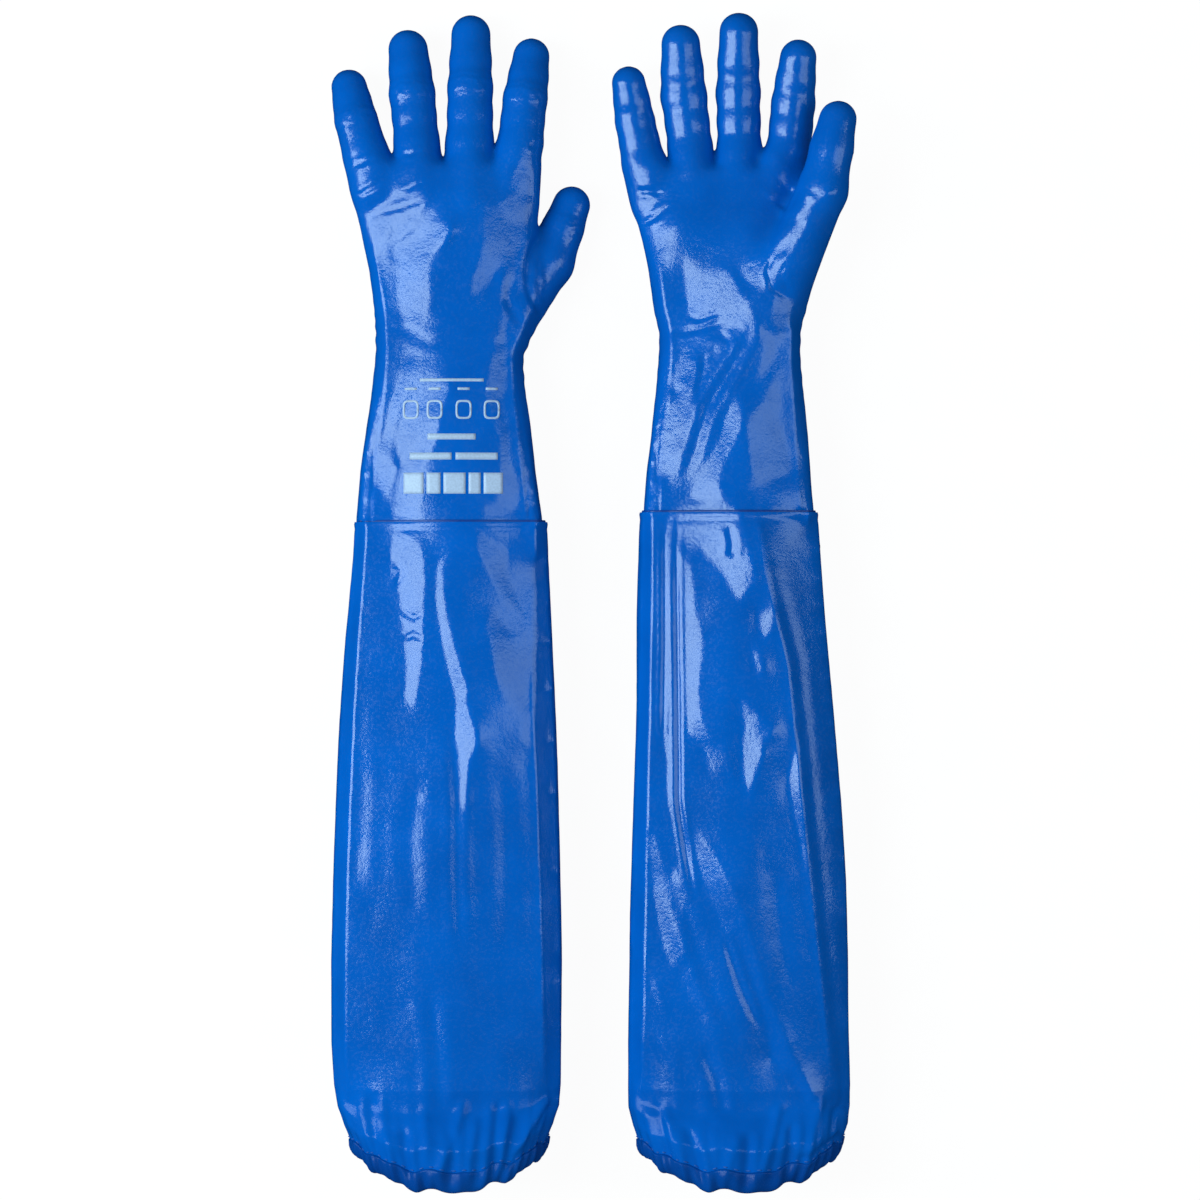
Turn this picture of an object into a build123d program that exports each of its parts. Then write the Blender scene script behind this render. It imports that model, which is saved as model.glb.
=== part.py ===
from build123d import *
import math
import os

os.makedirs("parts", exist_ok=True)

# A pair of long insulated gloves lying side by side, fingers toward +Y, +Z up,
# resting on Z = 0. The left glove lies palm down, the right glove palm up.
# Every length is in millimetres.

# ---- driving dimensions -------------------------------------------------
shell_wall = 1.4          # coated outer shell of the hand and the gauntlet
liner_gap = 0.15          # between the outer shell and the insulating liner
liner_wall = 1.8          # knitted insulating liner
sleeve_wall = 1.0         # extension sleeve film
lap_gap = 0.3             # clearance each side of the lap band
lap_wall = 0.5            # adhesive band in the lap joint
joint_gap = 0.25          # half gap where two moving segments meet
knuckle_flex = 65.0       # degrees, finger base joints
middle_flex = 70.0        # degrees, finger middle joints
thumb_flex = 40.0         # degrees, thumb base joint
thumb_tip_flex = 50.0     # degrees, thumb middle joint
wrist_flex = 35.0         # degrees, each way
elbow_flex = 75.0         # degrees, sleeve folds upward
hinge_depth = 0.45        # finger hinge line, share of the radius toward the palm
wrist_y = 137.6
elbow_y = -114.3
elbow_z = 50.0
flat = 1.5                # how much of each oval is flattened by the table
hem_y = -324.2            # end of the hem
casing_width = 11.5       # hem casing, along Y
frame_shift = (-1.114, -0.889, 0.0)   # moves the origin to the middle of the rest area
casing_wall = 1.1
elastic_width = 7.0
elastic_wall = 1.6
stitch_count = 36

# y, centre x, half-width, centre z, half-height
left_palm = [
    (120.0, -78.4, 41.2, 26.5, 23.2),
    (141.4, -78.0, 40.7, 25.5, 21.8),
    (160.7, -76.6, 42.6, 25.5, 20.0),
    (182.8, -76.9, 45.4, 25.8, 18.6),
    (204.9, -78.4, 48.9, 26.0, 17.4),
    (227.0, -80.8, 51.6, 25.8, 15.8),
    (242.0, -82.0, 52.4, 25.5, 13.6),
]
right_palm = [
    (120.0, 77.0, 40.4, 26.5, 22.8),
    (141.4, 77.0, 39.0, 24.5, 21.2),
    (160.7, 77.2, 40.0, 23.0, 19.6),
    (182.8, 76.5, 43.4, 22.2, 18.4),
    (204.9, 74.8, 47.3, 21.4, 17.2),
    (227.0, 72.9, 50.0, 20.6, 15.6),
    (240.0, 71.6, 50.6, 20.2, 13.4),
]
left_gauntlet = [
    (24.0, -77.8, 51.4, 31.6, 30.3),
    (46.0, -77.8, 50.6, 30.6, 29.3),
    (72.4, -78.7, 48.6, 29.6, 27.6),
    (94.4, -78.7, 45.8, 28.6, 25.6),
    (116.5, -78.7, 42.5, 27.2, 23.4),
    (135.9, -78.4, 40.8, 26.0, 22.2),
    (150.0, -77.4, 41.0, 25.5, 21.4),
]
right_gauntlet = [
    (28.0, 76.6, 47.3, 31.0, 29.7),
    (52.0, 76.5, 46.3, 30.0, 28.7),
    (72.4, 76.5, 45.4, 29.0, 27.2),
    (94.4, 76.8, 43.2, 28.0, 25.2),
    (116.5, 77.1, 40.8, 26.4, 23.0),
    (135.9, 77.0, 39.2, 25.0, 21.6),
    (150.0, 77.1, 39.6, 24.0, 20.8),
]
left_sleeve = [
    (44.2, -77.3, 53.3, 30.7, 32.2),
    (22.6, -77.8, 54.1, 31.7, 33.2),
    (-21.5, -78.5, 57.1, 33.6, 35.1),
    (-65.7, -79.0, 59.4, 35.1, 36.6),
    (-109.9, -79.2, 61.3, 36.1, 37.6),
    (-154.1, -79.5, 62.7, 36.5, 38.0),
    (-198.3, -79.5, 63.8, 36.5, 38.0),
    (-242.5, -79.7, 63.7, 36.3, 37.8),
    (-286.6, -78.7, 61.3, 35.3, 36.8),
    (-313.0, -78.4, 58.0, 33.9, 35.4),
]
right_sleeve = [
    (50.0, 76.5, 49.1, 30.1, 31.6),
    (22.6, 77.3, 50.2, 31.3, 32.8),
    (-21.5, 78.4, 52.4, 33.4, 34.9),
    (-65.7, 79.8, 54.9, 35.1, 36.6),
    (-109.9, 81.0, 57.5, 36.1, 37.6),
    (-154.1, 81.8, 59.3, 36.5, 38.0),
    (-198.3, 81.8, 60.4, 36.5, 38.0),
    (-242.5, 81.5, 61.3, 36.3, 37.8),
    (-286.6, 81.5, 60.9, 35.3, 36.8),
    (-313.0, 82.0, 58.6, 33.9, 35.4),
]

# knuckle point, middle point, fingertip, radii at the three, reach into the palm
left_fingers = {
    "little": ((-125.1, 249.1, 24.4), (-130.2, 267.1, 22.6), (-136.4, 294.7, 13.0), (12.0, 11.3, 9.6), 30.0),
    "ring": ((-96.5, 255.7, 25.0), (-99.2, 281.5, 22.2), (-102.5, 317.0, 11.6), (12.1, 12.1, 10.6), 34.0),
    "middle": ((-67.1, 255.7, 25.2), (-66.8, 285.0, 22.2), (-66.6, 325.6, 11.0), (12.3, 12.0, 10.6), 34.0),
    "index": ((-38.7, 254.6, 25.0), (-36.2, 278.9, 22.6), (-31.8, 312.3, 12.0), (12.1, 11.7, 9.8), 34.0),
    "thumb": ((-22.6, 188.6, 13.8), (-15.3, 207.6, 13.2), (-7.0, 230.0, 12.0), (12.8, 11.4, 9.9), 46.0),
}
right_fingers = {
    "little": ((29.2, 245.2, 19.6), (24.7, 266.4, 20.4), (19.6, 295.8, 27.0), (11.4, 10.6, 8.9), 30.0),
    "ring": ((55.3, 251.8, 19.6), (51.8, 280.0, 20.6), (49.2, 319.0, 28.4), (12.0, 12.0, 10.4), 34.0),
    "middle": ((82.6, 251.3, 19.6), (82.0, 282.2, 20.6), (82.3, 325.6, 29.0), (11.6, 11.6, 10.4), 34.0),
    "index": ((109.6, 250.7, 19.6), (111.8, 276.2, 20.6), (115.4, 310.7, 28.4), (11.6, 11.2, 9.6), 34.0),
    "thumb": ((128.6, 226.9, 44.6), (133.6, 249.1, 45.6), (138.6, 275.3, 45.0), (12.8, 11.2, 9.4), 58.0),
}
mound_radius = {"left": 15.6, "right": 17.4}
palmar = {"left": -1.0, "right": 1.0}


# ---- small vector helpers ----------------------------------------------
def unit(a, b):
    """Unit vector from point a to point b."""
    v = Vector(*b) - Vector(*a)
    return v.normalized()


def side_plane(point, along):
    """Plane through a point: local x runs along the finger, local y is upward."""
    lateral = Vector(along.Y, -along.X, 0).normalized()
    return Plane(origin=point, x_dir=along, z_dir=lateral)


def before_joint(depth_sign, depth, half_angle, reach=60.0):
    """Outline kept on the near side of a one-way hinge, V open toward the palm."""
    t = math.tan(math.radians(half_angle))
    s = depth_sign
    return [
        (-reach, -s * reach),
        (-joint_gap, -s * reach),
        (-joint_gap, s * depth),
        (-joint_gap - (reach - depth) * t, s * reach),
        (-reach - 60, s * reach),
        (-reach - 60, -s * reach),
    ]


def after_joint(depth_sign, depth, half_angle, reach=60.0):
    """Outline kept on the far side of the same hinge."""
    return [(-x, y) for x, y in before_joint(depth_sign, depth, half_angle, reach)]


def oval_plane(y, cx, cz):
    """Cross-section plane of a sleeve or palm; local x is X and local y is Z."""
    return Plane(origin=(cx, y, cz), x_dir=(1, 0, 0), z_dir=(0, -1, 0))


def oval_body(stations, inset, floor=None):
    """Closed solid through a row of ovals, shrunk by inset, flat at the floor."""
    with BuildPart() as body:
        for y, cx, hw, cz, hz in stations:
            with BuildSketch(oval_plane(y, cx, cz)):
                Ellipse(hw - inset, hz - inset)
        loft()
        if floor is not None:
            with BuildSketch(Plane.XY.offset(floor)):
                Rectangle(1200, 1600)
            extrude(amount=400, mode=Mode.INTERSECT)
    return body.part


def stretch(stations, ends):
    """The same stations run past both ends, so a cavity opens cleanly."""
    first, last = stations[0], stations[-1]
    sign = 1.0 if last[0] > first[0] else -1.0
    out = list(stations)
    if ends[0]:
        out[0] = (first[0] - sign * ends[0], *first[1:])
    if ends[1]:
        out[-1] = (last[0] + sign * ends[1], *last[1:])
    return out


def round_body(start, along, profile):
    """Solid of revolution about a finger axis; profile rows are (distance, radius)."""
    plane = side_plane(start, along)
    points = [(profile[0][0], 0.0), *profile, (profile[-1][0], 0.0)]
    with BuildPart() as body:
        with BuildSketch(plane):
            Polygon(*points, align=None)
        revolve(axis=Axis(start, along))
    return body.part


def dome_body(start, along, near, far, length):
    """Tapered tube with a round end: near radius at 0, far radius by the dome."""
    plane = side_plane(start, along)
    c = length - far
    with BuildPart() as body:
        with BuildSketch(plane):
            with BuildLine():
                Polyline((-5.0, 0.0), (-5.0, near), (c, far))
                ThreePointArc((c, far), (c + far * math.sin(math.pi / 4), far * math.cos(math.pi / 4)), (length, 0.0))
                Line((length, 0.0), (-5.0, 0.0))
            make_face()
        revolve(axis=Axis(start, along))
    return body.part


def mound_body(start, along, near, far, length):
    """Thumb mound: a round-ended cone that grows out of the palm."""
    plane = side_plane(start, along)
    with BuildPart() as body:
        with BuildSketch(plane):
            with BuildLine():
                ThreePointArc((-near, 0.0), (-near * math.cos(math.pi / 4), near * math.sin(math.pi / 4)), (0.0, near))
                Polyline((0.0, near), (length, far), (length, 0.0), (-near, 0.0))
            make_face()
        revolve(axis=Axis(start, along))
    return body.part


def finish(piece, name):
    """Labels one finished piece and writes it."""
    placed = piece.part.moved(Location(frame_shift))
    placed.label = name
    export_step(placed, "parts/" + name + ".step")


def wrist_outline(far_side):
    """Kept outline at the wrist hinge, V open both up and down."""
    t = math.tan(math.radians(wrist_flex / 2 + 1))
    s = 1.0 if far_side else -1.0
    return [
        (s * (joint_gap + 80 * t), -80),
        (s * joint_gap, 0),
        (s * (joint_gap + 80 * t), 80),
        (s * 300, 80),
        (s * 300, -80),
    ]


def elbow_outline(forearm_side):
    """Kept outline at the elbow hinge, V open upward."""
    t = math.tan(math.radians(elbow_flex / 2 + 1))
    s = 1.0 if forearm_side else -1.0
    return [
        (s * joint_gap, -90),
        (s * joint_gap, 0),
        (s * (joint_gap + 60 * t), 60),
        (s * 320, 60),
        (s * 320, -90),
    ]


def finger_bodies(side, name, data, radius_cut):
    """Solids of the palm stub, base segment and tip segment at one inset."""
    knuckle, middle, tip, radii, reach = data
    s = palmar[side]
    d1, d2 = unit(knuckle, middle), unit(middle, tip)
    first = (Vector(*middle) - Vector(*knuckle)).length
    second = (Vector(*tip) - Vector(*middle)).length
    r0, r1, r2 = (r - radius_cut for r in radii)
    if name == "thumb":
        start = Vector(*knuckle) - d1 * reach
        start = Vector(start.X, start.Y, start.Z + (7.0 if side == "left" else -9.0))
        dm = (Vector(*knuckle) - start).normalized()
        run = (Vector(*knuckle) - start).length
        stub = mound_body(start, dm, mound_radius[side] - radius_cut, r0, run + 6.0)
    else:
        stub = round_body(Vector(*knuckle), d1, [(-reach, r0), (6.0, r0)])
    base = round_body(Vector(*knuckle), d1, [(-6.0, r0), (0.0, r0), (first, r1), (first + 6.0, r1)])
    end = dome_body(Vector(*middle), d2, r1, r2, second - radius_cut)
    return stub, base, end


def joint_planes(data):
    """Side planes at the knuckle and at the middle joint."""
    knuckle, middle, tip = data[:3]
    d1, d2 = unit(knuckle, middle), unit(middle, tip)
    return side_plane(Vector(*knuckle), d1), side_plane(Vector(*middle), (d1 + d2).normalized())


def build_hand(side, palm, fingers, outer_cut, inner_cut):
    """One layer of the hand: palm, finger stubs and thumb mound, hollow."""
    s = palmar[side]
    with BuildPart() as layer:
        add(oval_body(stretch(palm, (0, -outer_cut)), outer_cut))
        for name, data in fingers.items():
            stub = finger_bodies(side, name, data, outer_cut)[0]
            at_knuckle = joint_planes(data)[0]
            flex = thumb_flex if name == "thumb" else knuckle_flex
            with BuildPart() as trimmed:
                add(stub)
                with BuildSketch(at_knuckle):
                    Polygon(*before_joint(s, hinge_depth * data[3][0], flex / 2 + 1), align=None)
                extrude(amount=60, both=True, mode=Mode.INTERSECT)
            add(trimmed.part)
        add(oval_body(stretch(palm, (10, -inner_cut)), inner_cut), mode=Mode.SUBTRACT)
        for name, data in fingers.items():
            add(finger_bodies(side, name, data, inner_cut)[0], mode=Mode.SUBTRACT)
        zc = sum(r[3] for r in palm[:2]) / 2
        with BuildSketch(Plane(origin=(0, wrist_y, wrist_z[side]), x_dir=(0, 1, 0), z_dir=(1, 0, 0))):
            Polygon(*wrist_outline(True), align=None)
        extrude(amount=400, both=True, mode=Mode.INTERSECT)
    return layer


wrist_z = {"left": 25.8, "right": 24.8}


def build_finger(side, name, data, outer_cut, inner_cut):
    """One layer of a finger: base segment and tip segment, hollow."""
    s = palmar[side]
    flex_k = thumb_flex if name == "thumb" else knuckle_flex
    flex_m = thumb_tip_flex if name == "thumb" else middle_flex
    _, base_o, end_o = finger_bodies(side, name, data, outer_cut)
    _, base_i, end_i = finger_bodies(side, name, data, inner_cut)
    at_knuckle, at_middle = joint_planes(data)
    with BuildPart() as base:
        add(base_o)
        add(base_i, mode=Mode.SUBTRACT)
        with BuildSketch(at_knuckle):
            Polygon(*after_joint(s, hinge_depth * data[3][0], flex_k / 2 + 1), align=None)
        extrude(amount=60, both=True, mode=Mode.INTERSECT)
        with BuildSketch(at_middle):
            Polygon(*before_joint(s, hinge_depth * data[3][1], flex_m / 2 + 1), align=None)
        extrude(amount=60, both=True, mode=Mode.INTERSECT)
    with BuildPart() as end:
        add(end_o)
        add(end_i, mode=Mode.SUBTRACT)
        with BuildSketch(at_middle):
            Polygon(*after_joint(s, hinge_depth * data[3][1], flex_m / 2 + 1), align=None)
        extrude(amount=60, both=True, mode=Mode.INTERSECT)
    return base, end


for side, palm, gauntlet, sleeve, fingers in (
    ("left", left_palm, left_gauntlet, left_sleeve, left_fingers),
    ("right", right_palm, right_gauntlet, right_sleeve, right_fingers),
):
    shell_in = shell_wall
    liner_out = shell_wall + liner_gap
    liner_in = liner_out + liner_wall

    # hand: outer shell and insulating liner
    hand_shell = build_hand(side, palm, fingers, 0.0, shell_in)
    finish(hand_shell, side + "_hand_shell")
    hand_liner = build_hand(side, palm, fingers, liner_out, liner_in)
    finish(hand_liner, side + "_hand_liner")

    # fingers and thumb: base and tip segment, each a shell over a liner
    for name, data in fingers.items():
        base_shell, tip_shell = build_finger(side, name, data, 0.0, shell_in)
        finish(base_shell, side + "_" + name + "_base_shell")
        finish(tip_shell, side + "_" + name + "_tip_shell")
        base_liner, tip_liner = build_finger(side, name, data, liner_out, liner_in)
        finish(base_liner, side + "_" + name + "_base_liner")
        finish(tip_liner, side + "_" + name + "_tip_liner")

    # gauntlet: from the wrist to the lap joint under the sleeve
    gauntlet_floor = sleeve_wall + 2 * lap_gap + lap_wall
    at_wrist = Plane(origin=(0, wrist_y, wrist_z[side]), x_dir=(0, 1, 0), z_dir=(1, 0, 0))
    with BuildPart() as gauntlet_shell:
        add(oval_body(gauntlet, 0.0, gauntlet_floor))
        add(oval_body(gauntlet, shell_in, gauntlet_floor + shell_in), mode=Mode.SUBTRACT)
        with BuildSketch(at_wrist):
            Polygon(*wrist_outline(False), align=None)
        extrude(amount=400, both=True, mode=Mode.INTERSECT)
    finish(gauntlet_shell, side + "_gauntlet_shell")
    with BuildPart() as gauntlet_liner:
        add(oval_body(gauntlet, liner_out, gauntlet_floor + liner_out))
        add(oval_body(gauntlet, liner_in, gauntlet_floor + liner_in), mode=Mode.SUBTRACT)
        with BuildSketch(at_wrist):
            Polygon(*wrist_outline(False), align=None)
        extrude(amount=400, both=True, mode=Mode.INTERSECT)
    finish(gauntlet_liner, side + "_gauntlet_liner")

    # extension sleeve, cut where it folds at the elbow
    at_elbow = Plane(origin=(0, elbow_y, elbow_z), x_dir=(0, 1, 0), z_dir=(1, 0, 0))
    lower, upper = sleeve[:6], sleeve[3:]
    with BuildPart() as forearm_sleeve:
        add(oval_body(lower, 0.0, 0.0))
        add(oval_body(stretch(lower, (5, 5)), sleeve_wall, sleeve_wall), mode=Mode.SUBTRACT)
        with BuildSketch(at_elbow):
            Polygon(*elbow_outline(True), align=None)
        extrude(amount=400, both=True, mode=Mode.INTERSECT)
    finish(forearm_sleeve, side + "_forearm_sleeve")
    with BuildPart() as upper_sleeve:
        add(oval_body(upper, 0.0, 0.0))
        add(oval_body(stretch(upper, (5, 5)), sleeve_wall, sleeve_wall), mode=Mode.SUBTRACT)
        with BuildSketch(at_elbow):
            Polygon(*elbow_outline(False), align=None)
        extrude(amount=400, both=True, mode=Mode.INTERSECT)
    finish(upper_sleeve, side + "_upper_sleeve")

    # lap band that welds the sleeve over the end of the gauntlet
    lap_hi, lap_lo = sleeve[0][0] - 1.5, gauntlet[0][0] + 1.0
    band_out = sleeve_wall + lap_gap
    with BuildPart() as lap_band:
        add(oval_body(lower, band_out, band_out))
        add(oval_body(lower, band_out + lap_wall, band_out + lap_wall), mode=Mode.SUBTRACT)
        with BuildSketch(Plane(origin=(0, lap_lo, 0), x_dir=(1, 0, 0), z_dir=(0, 1, 0))):
            Rectangle(800, 400)
        extrude(amount=lap_hi - lap_lo, mode=Mode.INTERSECT)
    finish(lap_band, side + "_lap_band")

    # hem: folded casing, the elastic inside it and its row of stitches
    hem_top = hem_y + casing_width
    last = sleeve[-1]
    cx, hw, cz, hz = last[1:]
    ring = [(hem_top - 0.3, cx, hw + 0.8, cz, hz + 0.8 - 0.8), (hem_y, cx, hw + 0.2, cz, hz)]
    channel_in = casing_wall
    channel_out = channel_in + elastic_wall + 0.5
    bore = channel_out + casing_wall
    with BuildPart() as hem_casing:
        add(oval_body(ring, 0.0, 0.0))
        add(oval_body(stretch(ring, (5, 5)), bore, bore), mode=Mode.SUBTRACT)
        inner_ring = [(hem_top - 0.3 - casing_wall, *ring[0][1:]), (hem_y + casing_wall, *ring[1][1:])]
        with BuildPart() as channel:
            add(oval_body(inner_ring, channel_in, channel_in))
            add(oval_body(stretch(inner_ring, (3, 3)), channel_out, channel_out), mode=Mode.SUBTRACT)
        add(channel.part, mode=Mode.SUBTRACT)
    finish(hem_casing, side + "_hem_casing")
    mid_y = (hem_top - 0.3 + hem_y) / 2
    band_ring = [(mid_y + elastic_width / 2, *ring[0][1:2], hw + 0.5, cz, hz), (mid_y - elastic_width / 2, *ring[0][1:2], hw + 0.5, cz, hz)]
    with BuildPart() as hem_elastic:
        add(oval_body(band_ring, channel_in + 0.35, channel_in + 0.35))
        add(oval_body(stretch(band_ring, (3, 3)), channel_out - 0.25, channel_out - 0.25), mode=Mode.SUBTRACT)
    finish(hem_elastic, side + "_hem_elastic")
    stitch_y = hem_top + 2.4
    spots = []
    for k in range(stitch_count):
        a = 2 * math.pi * (k + 0.5) / stitch_count
        ex, ez = (hw + 1.3) * math.cos(a), (hz + 1.3) * math.sin(a)
        nx, nz = math.cos(a) / (hw + 1.3), math.sin(a) / (hz + 1.3)
        if cz + ez < 3.0:
            continue
        spots.append(Location((cx + ex, stitch_y, cz + ez), (0, -math.degrees(math.atan2(nz, nx)), 0)))
    with BuildPart() as hem_stitching:
        with Locations(*spots):
            Box(0.5, 0.7, 3.6)
    finish(hem_stitching, side + "_hem_stitching")
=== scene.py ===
import bpy, bmesh, math
import numpy as np
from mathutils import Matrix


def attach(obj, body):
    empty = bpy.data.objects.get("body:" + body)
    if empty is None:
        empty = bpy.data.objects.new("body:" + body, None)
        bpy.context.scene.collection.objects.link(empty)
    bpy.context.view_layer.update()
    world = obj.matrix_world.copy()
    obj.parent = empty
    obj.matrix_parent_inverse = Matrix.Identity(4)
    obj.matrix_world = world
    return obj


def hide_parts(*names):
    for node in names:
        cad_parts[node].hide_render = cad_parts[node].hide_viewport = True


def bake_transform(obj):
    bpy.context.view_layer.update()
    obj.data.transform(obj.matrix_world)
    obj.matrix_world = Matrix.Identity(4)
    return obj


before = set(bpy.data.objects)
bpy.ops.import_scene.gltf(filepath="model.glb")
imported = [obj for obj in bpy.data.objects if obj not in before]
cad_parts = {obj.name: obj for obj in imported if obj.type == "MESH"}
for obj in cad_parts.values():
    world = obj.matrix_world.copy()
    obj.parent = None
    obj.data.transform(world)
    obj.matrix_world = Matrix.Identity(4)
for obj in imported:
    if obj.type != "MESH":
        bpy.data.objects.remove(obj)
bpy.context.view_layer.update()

import openvdb as vdb
from mathutils import Vector, Matrix
from mathutils.bvhtree import BVHTree

# All tables are in millimetres before the shift to the row frame's origin.
SHIFT = np.array([-1.114, -0.889, 0.0])
rng = np.random.default_rng(7)


def to_m(v):
    return (np.asarray(v, float) + SHIFT) / 1000.0


def smooth(t):
    t = np.clip(t, 0, 1)
    return t * t * (3 - 2 * t)


# ------------------------------------------------------------------ camera
cam_data = bpy.data.cameras.new("camera")
cam = bpy.data.objects.new("camera", cam_data)
bpy.context.scene.collection.objects.link(cam)
cam.location = (0.00413, -0.00034, 3.0)
cam.rotation_euler = (0, 0, 0)
cam_data.sensor_width = 36
cam_data.lens = 18 * 2.962 / 0.3314
cam_data.clip_start, cam_data.clip_end = 0.05, 50
bpy.context.scene.camera = cam

# ------------------------------------------------------------------ tables
PALM = {
    "left": [(24.0, -77.8, 51.6, 31.6, 30.4), (46.0, -77.8, 51.4, 30.8, 29.6), (72.4, -78.7, 48.6, 29.6, 27.6), (94.4, -78.7, 45.8, 28.6, 25.6),
             (116.5, -78.7, 42.5, 27.2, 23.4), (135.9, -78.4, 40.8, 26.0, 22.2), (149.7, -77.6, 41.5, 25.5, 21.0), (160.7, -77.0, 42.8, 25.5, 20.0),
             (182.8, -77.2, 45.4, 25.8, 18.6), (204.9, -78.4, 48.9, 26.0, 17.4), (227.0, -80.8, 51.8, 25.8, 15.8), (246.0, -82.2, 53.6, 25.5, 13.2)],
    "right": [(28.0, 76.6, 48.0, 31.0, 29.7), (52.0, 76.5, 47.4, 30.0, 28.9), (72.4, 76.5, 45.8, 29.0, 27.2), (94.4, 76.8, 43.3, 28.0, 25.2),
              (116.5, 77.1, 40.9, 26.4, 23.0), (135.9, 77.0, 39.2, 25.0, 21.6), (149.7, 77.4, 39.2, 23.6, 20.4), (160.7, 77.2, 40.1, 23.0, 19.6),
              (182.8, 76.5, 43.6, 22.2, 18.4), (204.9, 74.8, 47.5, 21.4, 17.2), (227.0, 72.9, 51.1, 20.6, 15.6), (243.0, 71.6, 52.6, 20.2, 13.2)],
}
PALM_END = {"left": 243.5, "right": 241.0}
FING = {
    "left": {
        "little": ((-125.1, 249.1, 24.4), (-130.2, 267.1, 22.6), (-136.4, 294.7, 13.0), (12.3, 11.4, 9.6), 24.0),
        "ring": ((-96.5, 255.7, 25.0), (-99.2, 281.5, 22.2), (-102.5, 317.0, 11.6), (12.3, 12.3, 10.6), 34.0),
        "middle": ((-67.1, 255.7, 25.2), (-66.8, 285.0, 22.2), (-66.6, 325.6, 11.0), (12.7, 12.1, 10.6), 34.0),
        "index": ((-38.7, 254.6, 25.0), (-36.2, 278.9, 22.6), (-31.8, 312.3, 12.0), (12.3, 11.8, 9.8), 34.0),
        "thumb": ((-23.0, 188.2, 14.4), (-15.5, 207.4, 13.6), (-7.2, 230.0, 12.2), (13.3, 11.5, 10.0), 46.0),
    },
    "right": {
        "little": ((29.2, 245.2, 19.6), (24.7, 266.4, 20.4), (19.6, 295.8, 27.0), (11.6, 10.7, 8.9), 24.0),
        "ring": ((55.3, 251.8, 19.6), (51.8, 280.0, 20.6), (49.2, 319.0, 28.4), (12.2, 12.3, 10.4), 34.0),
        "middle": ((82.6, 251.3, 19.6), (82.0, 282.2, 20.6), (82.3, 325.6, 29.0), (12.0, 11.8, 10.4), 34.0),
        "index": ((110.0, 250.7, 19.6), (112.6, 276.2, 20.6), (116.0, 310.7, 28.4), (11.9, 11.6, 9.8), 34.0),
        "thumb": ((127.8, 226.4, 44.4), (132.8, 249.1, 45.4), (138.6, 275.3, 45.0), (13.6, 12.0, 10.0), 58.0),
    },
}
MOUND = {"left": ((-46.0, 150.0, 23.0), 12.5), "right": ((103.0, 168.0, 31.0), 16.2)}
SLEEVE = {
    "left": [(44.2, -77.3, 53.3, 30.9, 32.2), (22.6, -77.8, 54.1, 31.7, 33.2), (-21.5, -78.5, 57.1, 33.6, 35.1), (-65.7, -79.0, 59.4, 35.1, 36.6), (-109.9, -79.2, 61.3, 36.1, 37.6),
             (-154.1, -79.5, 62.7, 36.5, 38.0), (-198.3, -79.5, 63.8, 36.5, 38.0), (-242.5, -79.7, 63.7, 36.3, 37.8), (-270.1, -79.2, 62.8, 35.8, 37.2), (-288.0, -78.7, 61.3, 35.1, 36.4), (-303.0, -78.5, 57.6, 34.2, 35.2), (-313.0, -78.4, 54.0, 33.4, 34.2), (-324.2, -78.3, 50.0, 32.6, 33.0)],
    "right": [(50.0, 76.5, 49.1, 30.3, 31.6), (22.6, 77.3, 50.2, 31.3, 32.8), (-21.5, 78.4, 52.4, 33.4, 34.9), (-65.7, 79.8, 54.9, 35.1, 36.6), (-109.9, 81.0, 57.5, 36.1, 37.6),
              (-154.1, 81.8, 59.3, 36.5, 38.0), (-198.3, 81.8, 60.4, 36.5, 38.0), (-242.5, 81.5, 61.3, 36.3, 37.8), (-270.1, 81.8, 61.6, 35.8, 37.2), (-288.0, 81.8, 61.2, 35.1, 36.4), (-303.0, 82.6, 59.0, 34.2, 35.2), (-313.0, 82.6, 56.0, 33.4, 34.2), (-324.2, 82.4, 52.0, 32.6, 33.0)],
}
SEAM_Y = {"left": 43.6, "right": 49.0}


def px(x, y):
    """Point measured on the flat layout, to millimetres."""
    return ((x - 590.5) * 0.5523, (601 - y) * 0.5523)


# ------------------------------------------------------------------ noise
def value_noise(p, scale, seed):
    """Smooth 3-D value noise, one value per row of p (mm)."""
    q = np.asarray(p, float) / scale + 100.0
    i = np.floor(q).astype(np.int64)
    f = q - i
    f = f * f * (3 - 2 * f)

    def h(ix, iy, iz):
        n = (ix * 73856093) ^ (iy * 19349663) ^ (iz * 83492791) ^ (seed * 2654435761 & 0x7FFFFFFF)
        n = (n ^ (n >> 13)) * 1274126177 & 0x7FFFFFFF
        n = (n ^ (n >> 16)) & 0xFFFF
        return n / 32767.5 - 1.0

    out = 0.0
    for a in (0, 1):
        for b in (0, 1):
            for c in (0, 1):
                w = (f[:, 0] if a else 1 - f[:, 0]) * (f[:, 1] if b else 1 - f[:, 1]) * (f[:, 2] if c else 1 - f[:, 2])
                out = out + w * h(i[:, 0] + a, i[:, 1] + b, i[:, 2] + c)
    return out


# ------------------------------------------------------------------ mesh helpers
def new_mesh(name, verts, faces, mats, face_mat=None, normals=None, metres=False):
    """Makes an object from arrays; faces is a list of index arrays (all quads or mixed)."""
    v = np.asarray(verts, float) if metres else to_m(verts)
    me = bpy.data.meshes.new(name)
    me.from_pydata(v.tolist(), [], faces.tolist() if isinstance(faces, np.ndarray) else faces)
    for m in mats:
        me.materials.append(m)
    if face_mat is not None:
        me.polygons.foreach_set("material_index", np.asarray(face_mat, np.int32))
    me.polygons.foreach_set("use_smooth", np.ones(len(me.polygons), bool))
    me.update()
    if normals is not None:
        me.normals_split_custom_set_from_vertices(np.asarray(normals, float).tolist())
    ob = bpy.data.objects.new(name, me)
    bpy.context.scene.collection.objects.link(ob)
    return ob


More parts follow.
